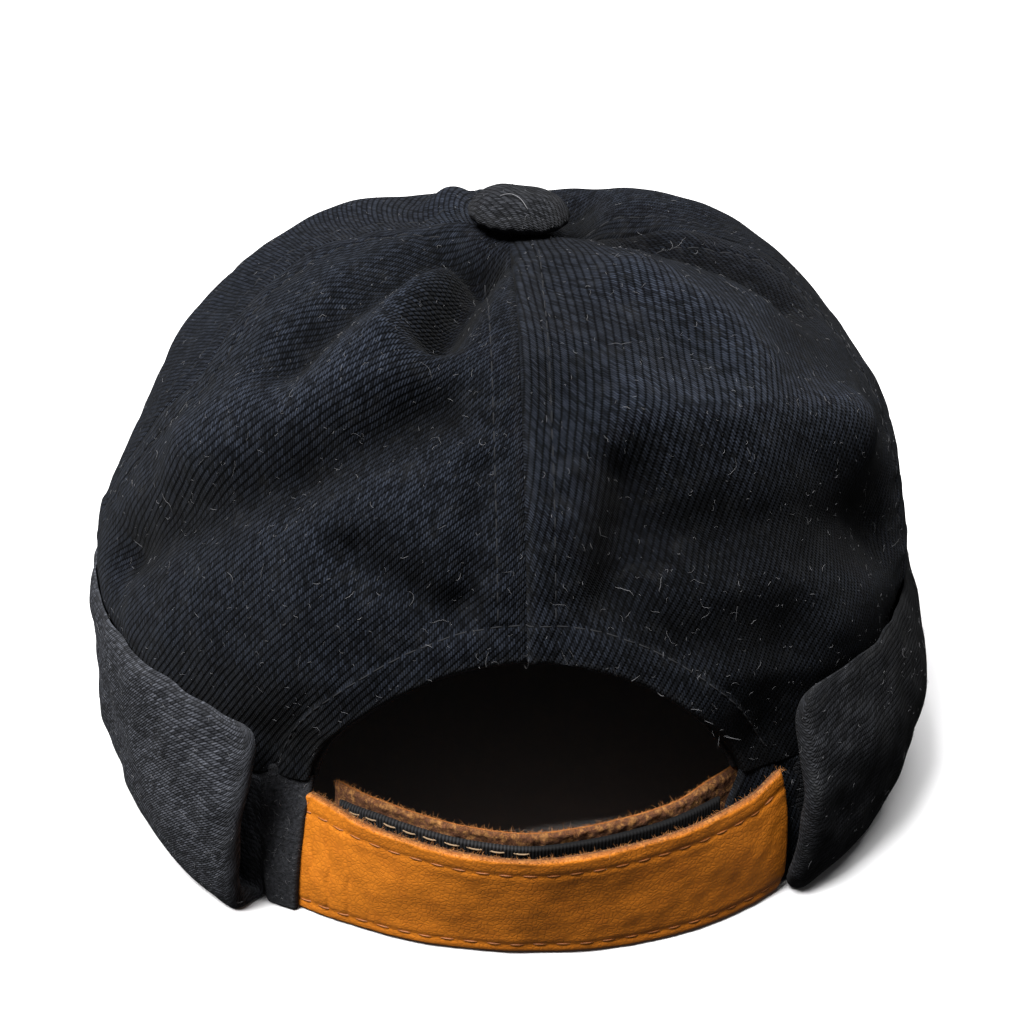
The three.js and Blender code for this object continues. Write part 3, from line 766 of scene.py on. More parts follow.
def twill_material(name, finish, tint, angle, fuzz=1.0):
    """Twill of floating yarns in diagonal ribs. angle turns the weave on the cloth, and fuzz over
    1 blurs its yarns with lint and dust."""
    shade = Shade(
        name, Roughness=0.92, Sheen_Weight=0.02, Sheen_Roughness=0.5, Specular_IOR_Level=0.06
    )
    where = shade.node("ShaderNodeUVMap", {"uv_map": "cloth"})
    x, y, _ = shade.node("ShaderNodeSeparateXYZ", None, {0: where}, (0, 1, 2))
    drift = (shade.noise(where, 0.011, 1.0) - 0.5) * 0.0011
    cos = math.cos(angle * DEGREE)
    sin = math.sin(angle * DEGREE)
    across = (x * cos + y * sin + drift) / finish.yarn
    column = across.math("FLOOR")
    along = (y * cos - x * sin + drift * 1.7) / finish.float_run - column * 0.25
    row = along.math("FLOOR")
    cell = shade.node("ShaderNodeCombineXYZ", None, {0: column, 1: row})
    chance = shade.node("ShaderNodeTexWhiteNoise", {"noise_dimensions": "2D"}, {"Vector": cell})
    side = across.math("FRACT") * 2 - 1
    end = along.math("FRACT") * 2 - 1
    yarn = (1 - 0.88 * side * side) * shade.smooth(end.math("ABSOLUTE"), 0.45, 0.95, 1.0, 0.0)
    clouds = shade.noise(where, 0.016, 3.0, 0.6)
    specks = shade.smooth(shade.noise(where, 0.0011, 2.0, 0.7), 0.66, 0.78)
    dust = shade.smooth(shade.noise(where, 0.006, 3.0, 0.65), 0.5, 0.75)
    worn = shade.mark("worn")
    fuzz_noise = shade.noise(where, 0.0007, 2.0, 0.6)
    blurred = fuzz - 1
    light = (0.16 + 0.75 * blurred + yarn * (1.9 - 1.3 * blurred)) * (0.3 + chance * 1.2)
    light = light * (0.1 + fuzz_noise * 1.8)
    # The piece's painted shade mark darkens hollows and the side away from the key light, and lightens
    # ridges and the lit side
    light = light * (0.65 + clouds * 0.7) * (1 + shade.mark("painted_shade") * 0.55)
    tone = shade.brighten(rgba(tint), light)
    grey = rgba([0.075 + 3 * channel * 0.2 for channel in tint])
    linty = (specks * (0.22 + dust * 0.5) + dust * 0.07) * fuzz
    faded = (linty + worn * 0.16).math("MINIMUM", 0.9)
    shade.feed("Base Color", shade.blend(tone, grey, faded))
    height = yarn * (0.75 + chance * 0.35) + specks * 0.3
    shade.feed("Normal", shade.raised(height, 0.00028, 0.85))
    return shade.material


def fuzzy_material(name, tint):
    """Plain matt cloth with a short nap and lint."""
    shade = Shade(
        name, Roughness=0.92, Sheen_Weight=0.03, Sheen_Roughness=0.5, Specular_IOR_Level=0.08
    )
    where = shade.node("ShaderNodeUVMap", {"uv_map": "cloth"})
    nap = shade.noise(where, 0.0009, 4.0, 0.7)
    clouds = shade.noise(where, 0.008, 3.0, 0.6)
    specks = shade.smooth(shade.noise(where, 0.0008, 3.0, 0.75), 0.54, 0.68)
    light = 0.3 + shade.smooth(nap, 0.36, 0.64) * 0.9 + clouds * 0.5
    faded = (specks * 0.5 + shade.mark("worn") * 0.2).math("MINIMUM", 0.9)
    grey = rgba([0.10, 0.102, 0.108])
    shade.feed("Base Color", shade.blend(shade.brighten(rgba(tint), light), grey, faded))
    shade.feed("Normal", shade.raised(nap + specks * 0.5, 0.0009, 1.0))
    return shade.material


def leather_material(name, finish):
    """Tan leather: waxy grain outside, and raw brown fibre on cut edges and the flesh side."""
    shade = Shade(name, Specular_IOR_Level=0.35)
    where = shade.node("ShaderNodeUVMap", {"uv_map": "cloth"})
    raw = shade.mark("raw")
    clouds = shade.noise(where, 0.014, 3.0, 0.6)
    mottle = shade.noise(where, 0.0032, 4.0, 0.65)
    pebble = shade.node(
        "ShaderNodeTexVoronoi", {"feature": "DISTANCE_TO_EDGE"}, {"Vector": where, "Scale": 1 / 0.0011}, 0
    )
    pores = shade.smooth(pebble, 0.0, 0.2)
    fine = shade.noise(where, 0.0005, 3.0, 0.65)
    tanned = shade.blend(
        rgba(finish.leather), rgba([c * k for c, k in zip(finish.leather, (0.6, 0.52, 0.7))]),
        shade.smooth(mottle * 0.5 + clouds * 0.5, 0.42, 0.72) * 0.5,
    )
    grain = shade.brighten(tanned, (0.8 + clouds * 0.4) * (0.86 + pores * 0.14) * (0.85 + fine * 0.3))
    fibre = shade.noise(where, 0.0007, 4.0, 0.75)
    threads = shade.smooth(fibre, 0.42, 0.68)
    flesh = shade.blend(rgba([c * 0.45 for c in finish.raw_leather]), rgba(finish.raw_leather), threads)
    golden = shade.smooth(shade.noise(where, 0.0016, 3.0, 0.7), 0.46, 0.66)
    flesh = shade.blend(flesh, rgba(finish.golden_fibre), golden * 0.7)
    shade.feed("Base Color", shade.blend(grain, flesh, raw))
    shade.feed("Roughness", shade.smooth(raw, 0.0, 1.0, 0.46, 0.95))
    height = (pores * 0.3 + fine * 0.4 + mottle * 0.4) * (1 - raw) + raw * threads * 2
    shade.feed("Normal", shade.raised(height, 0.0002, 0.7))
    return shade.material


def ribbed_material(name, finish):
    """Black woven tape with grey ribs across it."""
    shade = Shade(name, Roughness=0.8, Specular_IOR_Level=0.2)
    where = shade.node("ShaderNodeUVMap", {"uv_map": "cloth"})
    rib = shade.mark("rib")
    nap = shade.noise(where, 0.0005, 2.0)
    woven = shade.blend(rgba(finish.tape_ground), rgba(finish.tape_rib), rib * (0.2 + nap * 0.8))
    shade.feed("Base Color", woven)
    shade.feed("Normal", shade.raised(nap, 0.00015, 0.6))
    return shade.material


def thread_material(name, tint, roughness=0.6):
    """Twisted thread."""
    shade = Shade(name, Roughness=roughness)
    where = shade.node("ShaderNodeTexCoord", None, None, 3)
    twist = shade.noise(where, 0.0006, 2.0)
    shade.feed("Base Color", shade.brighten(rgba(tint), 0.6 + twist * 0.8))
    shade.feed("Normal", shade.raised(twist, 0.0001, 0.5))
    return shade.material


def lint_material(finish):
    return material("lint", thread_material, finish.lint, 0.8)


def floor_material(name, tint):
    """Plain pale floor with the faintest cloudiness."""
    shade = Shade(name, Roughness=0.7, Specular_IOR_Level=0.1)
    where = shade.node("ShaderNodeTexCoord", None, None, 3)
    shade.feed("Base Color", shade.brighten(rgba(tint), 0.995 + shade.noise(where, 0.3) * 0.01))
    return shade.material


def material(name, make, *args):
    """A material by name, made when it is first asked for."""
    found = bpy.data.materials.get(name)
    return found or make(name, *args)


PANELS = ("back_left", "back_right", "front_right", "front_left")
GRAIN = {"back_left": 7, "back_right": 14, "front_right": 6, "front_left": -6}
PANEL_CENTRES = (-45, 45, 135, 225)
ARCH_SHARE = 7 / 18


def panel_turns(crown, share, panel, start, end):
    """Turns of a panel's columns, which bunch up beside the opening as the edge there climbs."""
    s = crown.s
    if panel == 1:
        arch = s.opening_right * np.sin(np.clip(share / ARCH_SHARE, 0, 1) * 90 * DEGREE)
        plain = mix(s.opening_right, end, (share - ARCH_SHARE) / (1 - ARCH_SHARE))
        return np.where(share <= ARCH_SHARE, arch, plain)
    if panel == 0:
        arch = -s.opening_left * np.sin(np.clip((1 - share) / ARCH_SHARE, 0, 1) * 90 * DEGREE)
        plain = mix(start, -s.opening_left, share / (1 - ARCH_SHARE))
        return np.where(share >= 1 - ARCH_SHARE, arch, plain)
    return mix(start, end, share)


class CAP_OT_crown(bpy.types.Operator):
    """Make the four crown panels of twill, with their seams, hem and rumples"""

    bl_idname = "cap.crown"
    bl_label = "Crown panels"

    def execute(self, context):
        crown = Crown(context.scene.cap_sizes)
        finish = context.scene.cap_finish
        even = np.linspace(0, 1, 151)
        across = even - 0.6 * np.sin(2 * math.pi * even) / (2 * math.pi)
        up = np.linspace(0, 1, 121)
        share, rise = np.meshgrid(across, up)
        even_level = mix(crown.hem_level, crown.top_level, rise)
        seams = crown.seam_turns(even_level)
        for panel, name in enumerate(PANELS):
            turn = panel_turns(crown, share, panel, seams[panel], seams[panel + 1])
            edge = crown.level_at(crown.lower_edge(turn)) - crown.hem_level
            if panel > 1:
                edge = 0 * edge
            level = even_level + edge * (1 - rise) ** 2
            lift, marks = crown.cloth(turn, level)
            outer = crown.place(turn, level, lift)
            inner = crown.place(turn, level, -crown.s.cloth_wall)
            aside = np.zeros_like(turn)
            aside[:, 0] = -crown.s.seam_lap / 2
            aside[:, -1] = crown.s.seam_lap / 2
            step = np.stack([aside * np.cos(turn * DEGREE), aside * np.sin(turn * DEGREE), 0 * aside], -1)
            flat = crown.gore(turn, level, PANEL_CENTRES[panel])
            cloth = material(f"twill_{name}", twill_material, finish, finish.twill, GRAIN[name])
            piece = sheet_piece(f"{name}_panel", outer + step, inner + step, cloth, flat, marks)
            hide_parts(f"crown_panel_{name}")
        return {"FINISHED"}


def sewn_line(crown, turn, level):
    """Points and normals of a line on the crown's cloth."""
    lift, _ = crown.cloth(turn, level)
    return crown.place(turn, level, lift), crown.outward(turn, level)


class CAP_OT_seams(bpy.types.Operator):
    """Sew black stitches beside the crown's seams and round the opening's hem"""

    bl_idname = "cap.seams"
    bl_label = "Seam stitches"

    def execute(self, context):
        crown = Crown(context.scene.cap_sizes)
        s = crown.s
        finish = context.scene.cap_finish
        lines = []
        for seam in range(4):
            low = s.opening_height + s.facing_width if seam == 1 else s.cuff_height * 0.75
            level = np.linspace(crown.level_at(low), crown.top_level, 400)
            for side in (-1, 1):
                at = crown.seam_turns(level)[seam]
                off, radius = crown.beside_seam(at + 1, level, seam)
                turn = at + side * s.seam_allowance / np.maximum(off, 1e-5)
                keep = radius > s.button_radius + 0.003
                lines.append(sewn_line(crown, turn[keep], level[keep]))
        turn, height = crown.opening_edge(np.linspace(-82, 78, 400), s.facing_width)
        lines.append(sewn_line(crown, turn, crown.level_at(height)))
        thread = material("black_thread", thread_material, finish.black_thread, 0.9)
        piece = lay_stitches("seam_stitches", lines, s.stitch, 0.0008, 0.00018, 0.2, thread)
        return {"FINISHED"}


class CAP_OT_facing(bpy.types.Operator):
    """Line the opening's edge with its narrow facing, rolled at the rim"""

    bl_idname = "cap.facing"
    bl_label = "Opening facing"

    def execute(self, context):
        crown = Crown(context.scene.cap_sizes)
        s = crown.s
        finish = context.scene.cap_finish
        angles = np.linspace(-90, 90, 241)
        angle, grow = np.meshgrid(angles, np.linspace(-s.facing_shows, s.facing_width, 20))
        turn, height = crown.opening_edge(angle, grow)
        level = crown.level_at(height)
        roll = bump(grow + s.facing_shows - 0.5 * MM, 0.7 * MM)
        tip = bump(grow + s.facing_shows, 0.3 * MM)
        rumple = 0.12 * MM * ripples(crown.wall(turn, level), 0.007, 8)
        out = -s.cloth_wall - s.facing_gap
        outer = crown.place(turn, level, out + 0.3 * MM * roll - 0.35 * MM * tip + rumple)
        inner = crown.place(turn, level, out - s.facing_wall + 0.35 * MM * tip)
        cloth = np.stack([turn * DEGREE * s.half_depth, height], -1)
        tape = material("tape_cloth", fuzzy_material, finish.tape)
        piece = sheet_piece("opening_rim_facing", outer, inner, tape, cloth, {"worn": 0.5 * roll})
        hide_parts("opening_facing")
        turn, height = crown.opening_edge(np.linspace(-12, 66, 90))
        rim = crown.place(turn, crown.level_at(height), 0.0003)
        lint = lint_material(finish)
        piece = fray("loose_threads", [rim], 26, 0.0026, 0.00005, lint)
        return {"FINISHED"}


def even_rows(rows, count, passes):
    """Points (out, height) spaced evenly along a profile, with its corners softened."""
    rows = np.array(rows, float)
    walked = walked_along(rows)
    line = sampled(rows, walked, np.linspace(0, walked[-1], count))
    for _ in range(passes):
        line[1:-1] = (line[:-2] + 2 * line[1:-1] + line[2:]) / 4
    return line


def cuff_top(crown, turn):
    """Height of the cuff's top edge, which droops towards its left corner."""
    s = crown.s
    to_corner = (360 - s.cuff_left - turn) / s.droop_run
    return s.cuff_height * crown.around(turn, CUFF["top"]) - s.cuff_droop * ease(1 - to_corner)


def cuff_profile(crown, turn):
    """The cuff's outer and cavity profiles at a turn, from the lap inside the crown, round the
    fold at the rim and up to the cuff's top edge."""
    s = crown.s
    top = cuff_top(crown, turn)
    belly = s.cuff_height * crown.around(turn, CUFF["belly"])
    from_right = ease(1 - (turn - s.cuff_right) / s.spread_run)
    from_left = ease(1 - (360 - s.cuff_left - turn) / s.spread_run)
    spread = s.spread_right * from_right + s.spread_left * from_left
    space = s.cuff_space + spread

    def face(share, depth):
        """A point of the outer ply. depth is 0 on its outer side and 1 on its inner side."""
        stands_off = mix(space, s.cuff_gap + 0.4 * spread, ease(share))
        wall = mix(s.cuff_wall, s.cuff_lip, ease((share - 0.7) / 0.3))
        out = stands_off + belly * math.sin(math.pi * share) + crown.swell(turn, top * share)
        return (out + wall * (1 - depth), top * share)

    inside = s.cloth_wall + 0.0004
    seam = s.hem_height - 0.00035
    lap = seam + s.band_lap
    outer = [
        (-inside - s.band_wall, lap),
        (-inside - s.band_wall, seam - 0.0008),
        (-s.band_wall, s.hem_height * 0.88),
        (-s.band_wall, 0.0027),
        (-s.band_wall / 2, 0.0),
        (space + s.cuff_wall * 0.2, 0.0),
        (space + s.cuff_wall * 0.65, 0.0007),
        (space + s.cuff_wall * 0.95, 0.0024),
        *(face(share, 0) for share in np.linspace(0.1, 0.94, 10)),
        face(0.98, 0.08),
        face(1, 0.4),
    ]
    cavity = [
        (-inside, lap),
        (-inside, seam),
        (0.0, seam - 0.0008),
        (0.0, s.fold_floor),
        (s.cuff_space / 2, s.fold_floor + 0.0003),
        *(face(share, 1) for share in np.linspace(0.1, 0.94, 10)),
        face(0.98, 0.92),
        face(1, 0.6),
    ]
    return even_rows(outer, 110, 3), even_rows(cavity, 110, 3)


class CAP_OT_cuff(bpy.types.Operator):
    """Turn up the band of twill outside the crown"""

    bl_idname = "cap.cuff"
    bl_label = "Cuff"

    def execute(self, context):
        crown = Crown(context.scene.cap_sizes)
        s = crown.s
        finish = context.scene.cap_finish
        even = np.linspace(0, 1, 441)
        share = even - 0.6 * np.sin(2 * math.pi * even) / (2 * math.pi)
        turns = mix(s.cuff_right, 360 - s.cuff_left, share)
        sections = [cuff_profile(crown, turn) for turn in turns]
        tops = cuff_top(crown, turns)
        at_right = ease(1 - (turns - s.cuff_right) / s.lean_run)
        at_left = ease(1 - (360 - s.cuff_left - turns) / s.lean_run)
        grids = []
        for side in (0, 1):
            rows = np.array([section[side] for section in sections]).transpose(1, 0, 2)
            out, height = rows[..., 0], np.maximum(rows[..., 1], 0)
            on_outer = ease((out - 0.0005) / 0.002)
            over = np.clip((height / tops - 0.88) / 0.12, 0, 1)
            corner = 1 - np.sqrt(1 - over**2)
            left = s.lean_left * height / s.cuff_height - 0.6 - s.corner_left * corner
            right = 1.2 + s.lean_right * ease(height / 0.008) - s.corner_right * corner
            turn = turns + on_outer * (at_left * left - at_right * right)
            level = crown.level_at(height)
            grid = crown.place(turn, level, out, 1 - on_outer)
            rumple = 0.6 * MM * ripples(grid, 0.027, 11) + 0.25 * MM * ripples(grid, 0.011, 12)
            lift = rumple * ease(height / 0.012) * on_outer
            grids.append(grid + crown.outward(turn, level) * lift[..., None])
        outer, cavity = grids
        from_end = np.minimum(turns - turns[0], turns[-1] - turns) * DEGREE * s.half_depth
        middle = (outer + cavity) / 2
        rounded = quarter_round(from_end, 0.0022, 0.01)
        thick = rounded * (1 + s.end_roll * bump(from_end - 0.003, 0.004) * on_outer)
        outer = middle + (outer - middle) * thick[..., None]
        cavity = middle + (cavity - middle) * thick[..., None]
        along = turns * DEGREE * (s.half_width + s.half_depth) / 2
        steps = np.linalg.norm(np.diff(outer, axis=0), axis=2)
        up = np.concatenate([np.zeros((1, len(turns))), np.cumsum(steps, axis=0)])
        real = np.linalg.norm(np.diff(outer, axis=1), axis=2)
        rolled = np.maximum(real - np.diff(along), 0) * ease(1 - from_end[1:] / 0.008)
        rolled = np.concatenate([0 * up[:, :1], np.cumsum(rolled, axis=1)], axis=1)
        cloth = np.stack([along + rolled - rolled[:, len(turns) // 2, None], up], -1)
        edge = up[-1] - up
        worn = 0.5 * bump(edge - 0.001, 0.0016) + 0.5 * bump(outer[..., 2] - 0.0015, 0.002)
        worn = worn + 0.6 * bump(from_end - 0.0012, 0.0016)[None]
        # Painted shade: the cuff is darker towards its right side, away from the key light, and lighter
        # towards its left
        painted_shade = np.broadcast_to(-1.35 * np.sin(turns * DEGREE), up.shape)
        weave = material("twill_cuff", twill_material, finish, finish.cuff, -41, 1.6)
        piece = sheet_piece("cuff_band", outer, cavity, weave, cloth, {"worn": worn, "painted_shade": painted_shade})
        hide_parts("cuff")
        return {"FINISHED"}


class CAP_OT_tabs(bpy.types.Operator):
    """Finish the band's two ends beside the opening as tabs, the left of plain fuzzy cloth and the right of
    twill
    """

    bl_idname = "cap.tabs"
    bl_label = "Tabs"

    def execute(self, context):
        crown = Crown(context.scene.cap_sizes)
        s = crown.s
        finish = context.scene.cap_finish
        share, rise = np.meshgrid(np.linspace(0, 1, 61), np.linspace(0, 1, 101))

        def tab(name, height, start, end, stand, lap, cloth, weave):
            """A tab from a start to an end turn, which stands off the inner ply by a distance at
            each turn and whose top laps the crown."""
            turn = mix(start, end, share)
            width = np.abs(end - start) * DEGREE * s.half_depth
            off = np.minimum(share, 1 - share) * width
            below = height.max() - height
            rounded = 1.0
            for gap in (off, height, below):
                rounded = rounded * quarter_round(gap, 0.0009, 0.02)
            level = crown.level_at(height)
            rumple = 0.3 * MM * ripples(crown.wall(turn, level), 0.009, 21) * ease(height / 0.006)
            middle = mix(stand(turn) - s.band_wall / 2, lap, ease((height - s.hem_height + 0.007) / 0.007))
            thick = s.band_wall / 2 * rounded
            outer = crown.place(turn, level, middle + thick + rumple + 0.25 * MM * rounded)
            inner = crown.place(turn, level, middle - thick)
            worn = 0.6 * bump(off - 0.0004, 0.0008) + 0.4 * bump(height - 0.0006, 0.0014)
            worn = worn + 0.5 * bump(below - 0.0005, 0.001)
            piece = sheet_piece(name, outer, inner, weave, cloth(turn, level), {"worn": worn})
            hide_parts("cuff")

        height = (s.hem_height + 0.0016 - 0.001 * np.cos(2 * math.pi * share)) * rise
        tape = material("tape_cloth", fuzzy_material, finish.tape)
        end = -s.tab_left - 1.3 + 2 * height / s.hem_height

        def flat(turn, level):
            return np.stack([turn * DEGREE * s.half_depth, crown.height_at(level)], -1)

        def gore(turn, level):
            return crown.gore(turn, level, PANEL_CENTRES[1])

        def grooved(turn):
            return s.tab_stand - s.groove * ease((-turn - s.groove_turn) / 1.8 + 0.5)

        def even(turn):
            return 0 * turn

        start = np.full_like(end, -s.cuff_left - 2)
        tab("tab_left", height, start, end, grooved, -s.tab_tuck, flat, tape)
        height = s.hem_height * rise * 0.995
        start = s.opening_right - 3 * ease((s.hem_height - height) / 0.01)
        twill = material("twill_back_right", twill_material, finish, finish.twill, GRAIN["back_right"])
        end = np.full_like(start, s.cuff_right + 2)
        tab("tab_right", height, start, end, even, -s.band_wall / 2, gore, twill)
        return {"FINISHED"}


def strap_point(crown, turn, height, depth):
    """A point of the strap at a height along its width. depth is measured inwards."""
    s = crown.s
    height = height * (1 + s.strap_rise * ease((turn - s.strap_reach) / 7 + 1))
    share = (turn / s.strap_reach + 1) / 2
    foot = MM * table_at(STRAP["foot"], share)
    head = MM * table_at(STRAP["head"], share)
    out = mix(foot, head, height / s.strap_width)
    point = crown.place(turn, crown.level_at(0.0003 + height), out)
    inward = np.stack([-np.sin(turn * DEGREE), np.cos(turn * DEGREE), 0 * turn], -1)
    return point + inward * np.asarray(depth)[..., None]


def rounded_profile(width, thick, radius, count):
    """Heights and depths round the outer half of a strap's section, and whether each is cut edge."""
    arc = np.linspace(0, 90, 7)[:-1] * DEGREE
    flat = np.linspace(radius, width - radius, count)
    heights = np.concatenate([radius * (1 - np.cos(arc)), flat, width - radius * (1 - np.cos(arc[::-1]))])
    depths = np.concatenate([radius * (1 - np.sin(arc)), 0 * flat, radius * (1 - np.sin(arc[::-1]))])
    raw = np.concatenate([1 - ease(arc / arc[-1]), 0 * flat, 1 - ease(arc[::-1] / arc[-1])])
    half = thick / 2 - 0.03 * MM
    heights = np.concatenate([[0], heights, [width]])
    depths = np.concatenate([[half], depths, [half]])
    raw = np.concatenate([[1], raw, [1]])
    return heights, depths, raw


def strap_grids(
    crown, left, right, low_at, width, thick, depth_at, relief, columns=321, count=60, rounded=False
):
    """The outer and inner grids of one layer of the adjuster, with its cut edges marked. low_at
    gives its lower edge's height at a turn, and depth_at how far it lies behind the outer face."""
    turn_line = mix(-left, right, np.linspace(0, 1, columns))
    heights, depths, raw = rounded_profile(width, thick, thick * 0.42, count)
    turn, height = np.meshgrid(turn_line, heights)
    share = height / width
    if rounded:
        corners = 1.6 * np.clip((share - 0.5) * 2, 0, 1) ** 2 + 1.4 * np.clip(1 - share * 6, 0, 1) ** 2
        turn = turn - corners * ease((turn - right + 8) / 8)
    depth = np.broadcast_to(depths[:, None], turn.shape)
    from_end = np.minimum(turn_line + left, right - turn_line)[None] * DEGREE * crown.s.half_depth
    end = quarter_round(from_end, thick / 2, 0.02)
    lift = relief(turn, height)
    base = depth_at(turn)
    outer_depth = base + thick / 2 + (depth - thick / 2) * end - lift
    inner_depth = base + thick / 2 - (depth - thick / 2) * end
    height = height + low_at(turn)
    outer = strap_point(crown, turn, height, outer_depth)
    inner = strap_point(crown, turn, height, inner_depth)
    cloth = np.stack([turn * DEGREE * crown.s.half_depth, height], -1)
    edge = np.broadcast_to(raw[:, None], turn.shape)
    edge = np.maximum(edge, bump(from_end, 0.0005) + 0 * turn)
    return outer, inner, cloth, edge


def strap_piece(name, grids, coat, inner_raw, outer_raw=0.0):
    """A strap with its raw faces and edges marked for the leather's finish."""
    outer, inner, cloth, edge = grids
    rows, columns = outer.shape[:2]
    raw = np.stack([np.maximum(edge * 0.75, outer_raw), np.maximum(edge * 0.75, inner_raw)])
    both = np.stack([cloth, cloth + [0.3, 0.1]])
    points = np.stack([outer, inner])
    return mesh_piece(name, points, slab_faces(rows, columns), coat, both, {"raw": raw}, flat_over=60)


class CAP_OT_straps(bpy.types.Operator):
    """Make the two leather straps of the adjuster with their sewn lines"""

    bl_idname = "cap.straps"
    bl_label = "Leather straps"

    def execute(self, context):
        crown = Crown(context.scene.cap_sizes)
        s = crown.s
        finish = context.scene.cap_finish
        hide = material("tan_leather", leather_material, finish)
        thread = material("tan_thread", thread_material, finish.leather_thread, 0.55)
        rows = (s.row_low, s.strap_width - s.row_high)

        def pressed(turn, height):
            """The sewn lines press in, and the hide swells and creases between them."""
            along = turn * DEGREE * s.half_depth
            spot = np.stack([along, height, 0 * along], -1)
            lift = 0.14 * MM * ripples(spot, 0.016, 31) + 0.06 * MM * ripples(spot, 0.006, 32)
            for row in rows:
                lift -= 0.18 * MM * bump(height - row, 0.0006)
                lift += 0.06 * MM * bump(np.abs(height - row) - 0.0016, 0.001)
            creased = ease((-along - 0.030) / 0.014)
            wander = along + 0.0004 * np.sin(height / 0.0031) + 0.0003 * np.sin(height / 0.0013)
            lift -= 0.3 * MM * creased * bump(np.sin(wander / 0.0016), 0.3)
            return lift * ease(height / 0.001) * ease((s.strap_width - height) / 0.001)

        def flush(turn):
            return 0 * turn

        outer = strap_grids(
            crown, s.strap_left, s.strap_right, flush, s.strap_width, s.leather, flush, pressed,
            rounded=True,
        )
        piece = strap_piece("outer_strap", outer, hide, inner_raw=1.0)
        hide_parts("strap_outer")

        inner_depth = s.leather + 2 * s.tape_thick + 3 * s.layer_gap

        def depth(turn):
            return mix(inner_depth, s.inner_tuck, ease((turn - s.tape_right + 3) / 8))

        def rough(turn, height):
            along = turn * DEGREE * s.half_depth
            spot = np.stack([along, height, 0 * along], -1)
            return 0.16 * MM * ripples(spot, 0.004, 41) + 0.1 * MM * ripples(spot, 0.0016, 42)

        def raised(turn):
            return s.inner_raise - 0.0018 * ease((-turn - 20) / 10)

        inner = strap_grids(
            crown, s.inner_left, s.inner_right, raised, s.strap_width, s.leather, depth, rough
        )
        piece = strap_piece("inner_strap", inner, hide, inner_raw=0.0, outer_raw=1.0)
        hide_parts("strap_inner")

        lines = []
        for row in rows:
            turn = np.linspace(-s.tab_left - 2, s.strap_right - 2.5, 500)
            height = np.full_like(turn, row)
            lift = pressed(turn, height)
            points = strap_point(crown, turn, height, -lift)
            lines.append((points, crown.outward(turn, crown.level_at(height))))
        piece = lay_stitches(
            "strap_stitches", lines, s.strap_stitch, s.strap_stitch_gap, 0.00022, 0.2, thread, 2
        )
        fibre = material("leather_fibre", thread_material, finish.leather_fibre, 0.8)
        edges = []
        for left, right, low_at, depth_at in (
            (s.tab_left, s.strap_right - 1, flush, flush),
            (s.inner_left, s.tab_right, raised, depth),
        ):
            turn = np.linspace(-left, right, 400)
            height = low_at(turn) + s.strap_width - 0.0003
            for inward in (0.2, 0.5, 0.8):
                edges.append(strap_point(crown, turn, height, depth_at(turn) + inward * s.leather))
        piece = fray("frayed_edges", edges, 620, 0.0008, 0.00004, fibre)
        return {"FINISHED"}


class CAP_OT_tapes(bpy.types.Operator):
    """Lay the two ribbed tapes between the straps, with the long threads that hold them"""

    bl_idname = "cap.tapes"
    bl_label = "Tapes"

    def execute(self, context):
        crown = Crown(context.scene.cap_sizes)
        s = crown.s
        finish = context.scene.cap_finish
        ribbed = material("ribbed_tape", ribbed_material, finish)
        hook = s.leather + s.layer_gap
        loop = hook + s.tape_thick + s.layer_gap

        def wave(turn):
            return np.sin(turn * DEGREE * s.half_depth * 2 * math.pi / s.rib)

        def low_edge(turn):
            return s.tape_low

        def seen_edge(turn):
            return s.tape_low + s.tape_raise - 0.0022 * ease((-turn - 20) / 10)

        def ribs(turn, height):
            return 0.08 * MM * wave(turn)

        def behind_outer(turn):
            return hook + 0 * turn

        def behind_hook(turn):
            return loop + 0 * turn

        for name, node, low_at, depth_at, right in (
            ("hook_side", "hook_tape", low_edge, behind_outer, s.tape_right),
            ("loop_side", "loop_tape", seen_edge, behind_hook, s.tape_right + 4),
        ):
            outer, inner, cloth, _ = strap_grids(
                crown, s.tape_left, right, low_at, s.tape_width, s.tape_thick, depth_at, ribs, 901, 12
            )
            at = cloth[..., 0] / (DEGREE * s.half_depth)
            rib = ease(wave(at) * 0.5 + 0.5) * (1 - 0.9 * ease((at + 4) / 8))
            rows, columns = outer.shape[:2]
            piece = mesh_piece(
                name, np.stack([outer, inner]), slab_faces(rows, columns), ribbed,
                np.stack([cloth, cloth]), {"rib": np.stack([rib, rib])}, flat_over=60,
            )
            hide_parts(node)
        turn = np.linspace(-s.tape_left + 1.5, 3, 400)
        height = seen_edge(turn) + s.tape_width - 0.0013
        front = strap_point(crown, turn, height, np.full_like(turn, loop))
        out = crown.outward(turn, crown.level_at(height))
        thread = material("tape_thread", thread_material, finish.tape_thread, 0.7)
        lines = [(front, out)]
        piece = lay_stitches(
            "tape_stitches", lines, s.tape_stitch, s.tape_stitch_gap, 0.0002, 1, thread, 3
        )
        return {"FINISHED"}


# The button's profile from its stem to its top: reach as a share of its radius, and rise as a
# share of its thickness
BUTTON = (
    (0.5, 0.0), (0.86, 0.13), (0.98, 0.26), (1, 0.36), (0.96, 0.5), (0.82, 0.72), (0.6, 0.88), (0.32, 0.97),
)


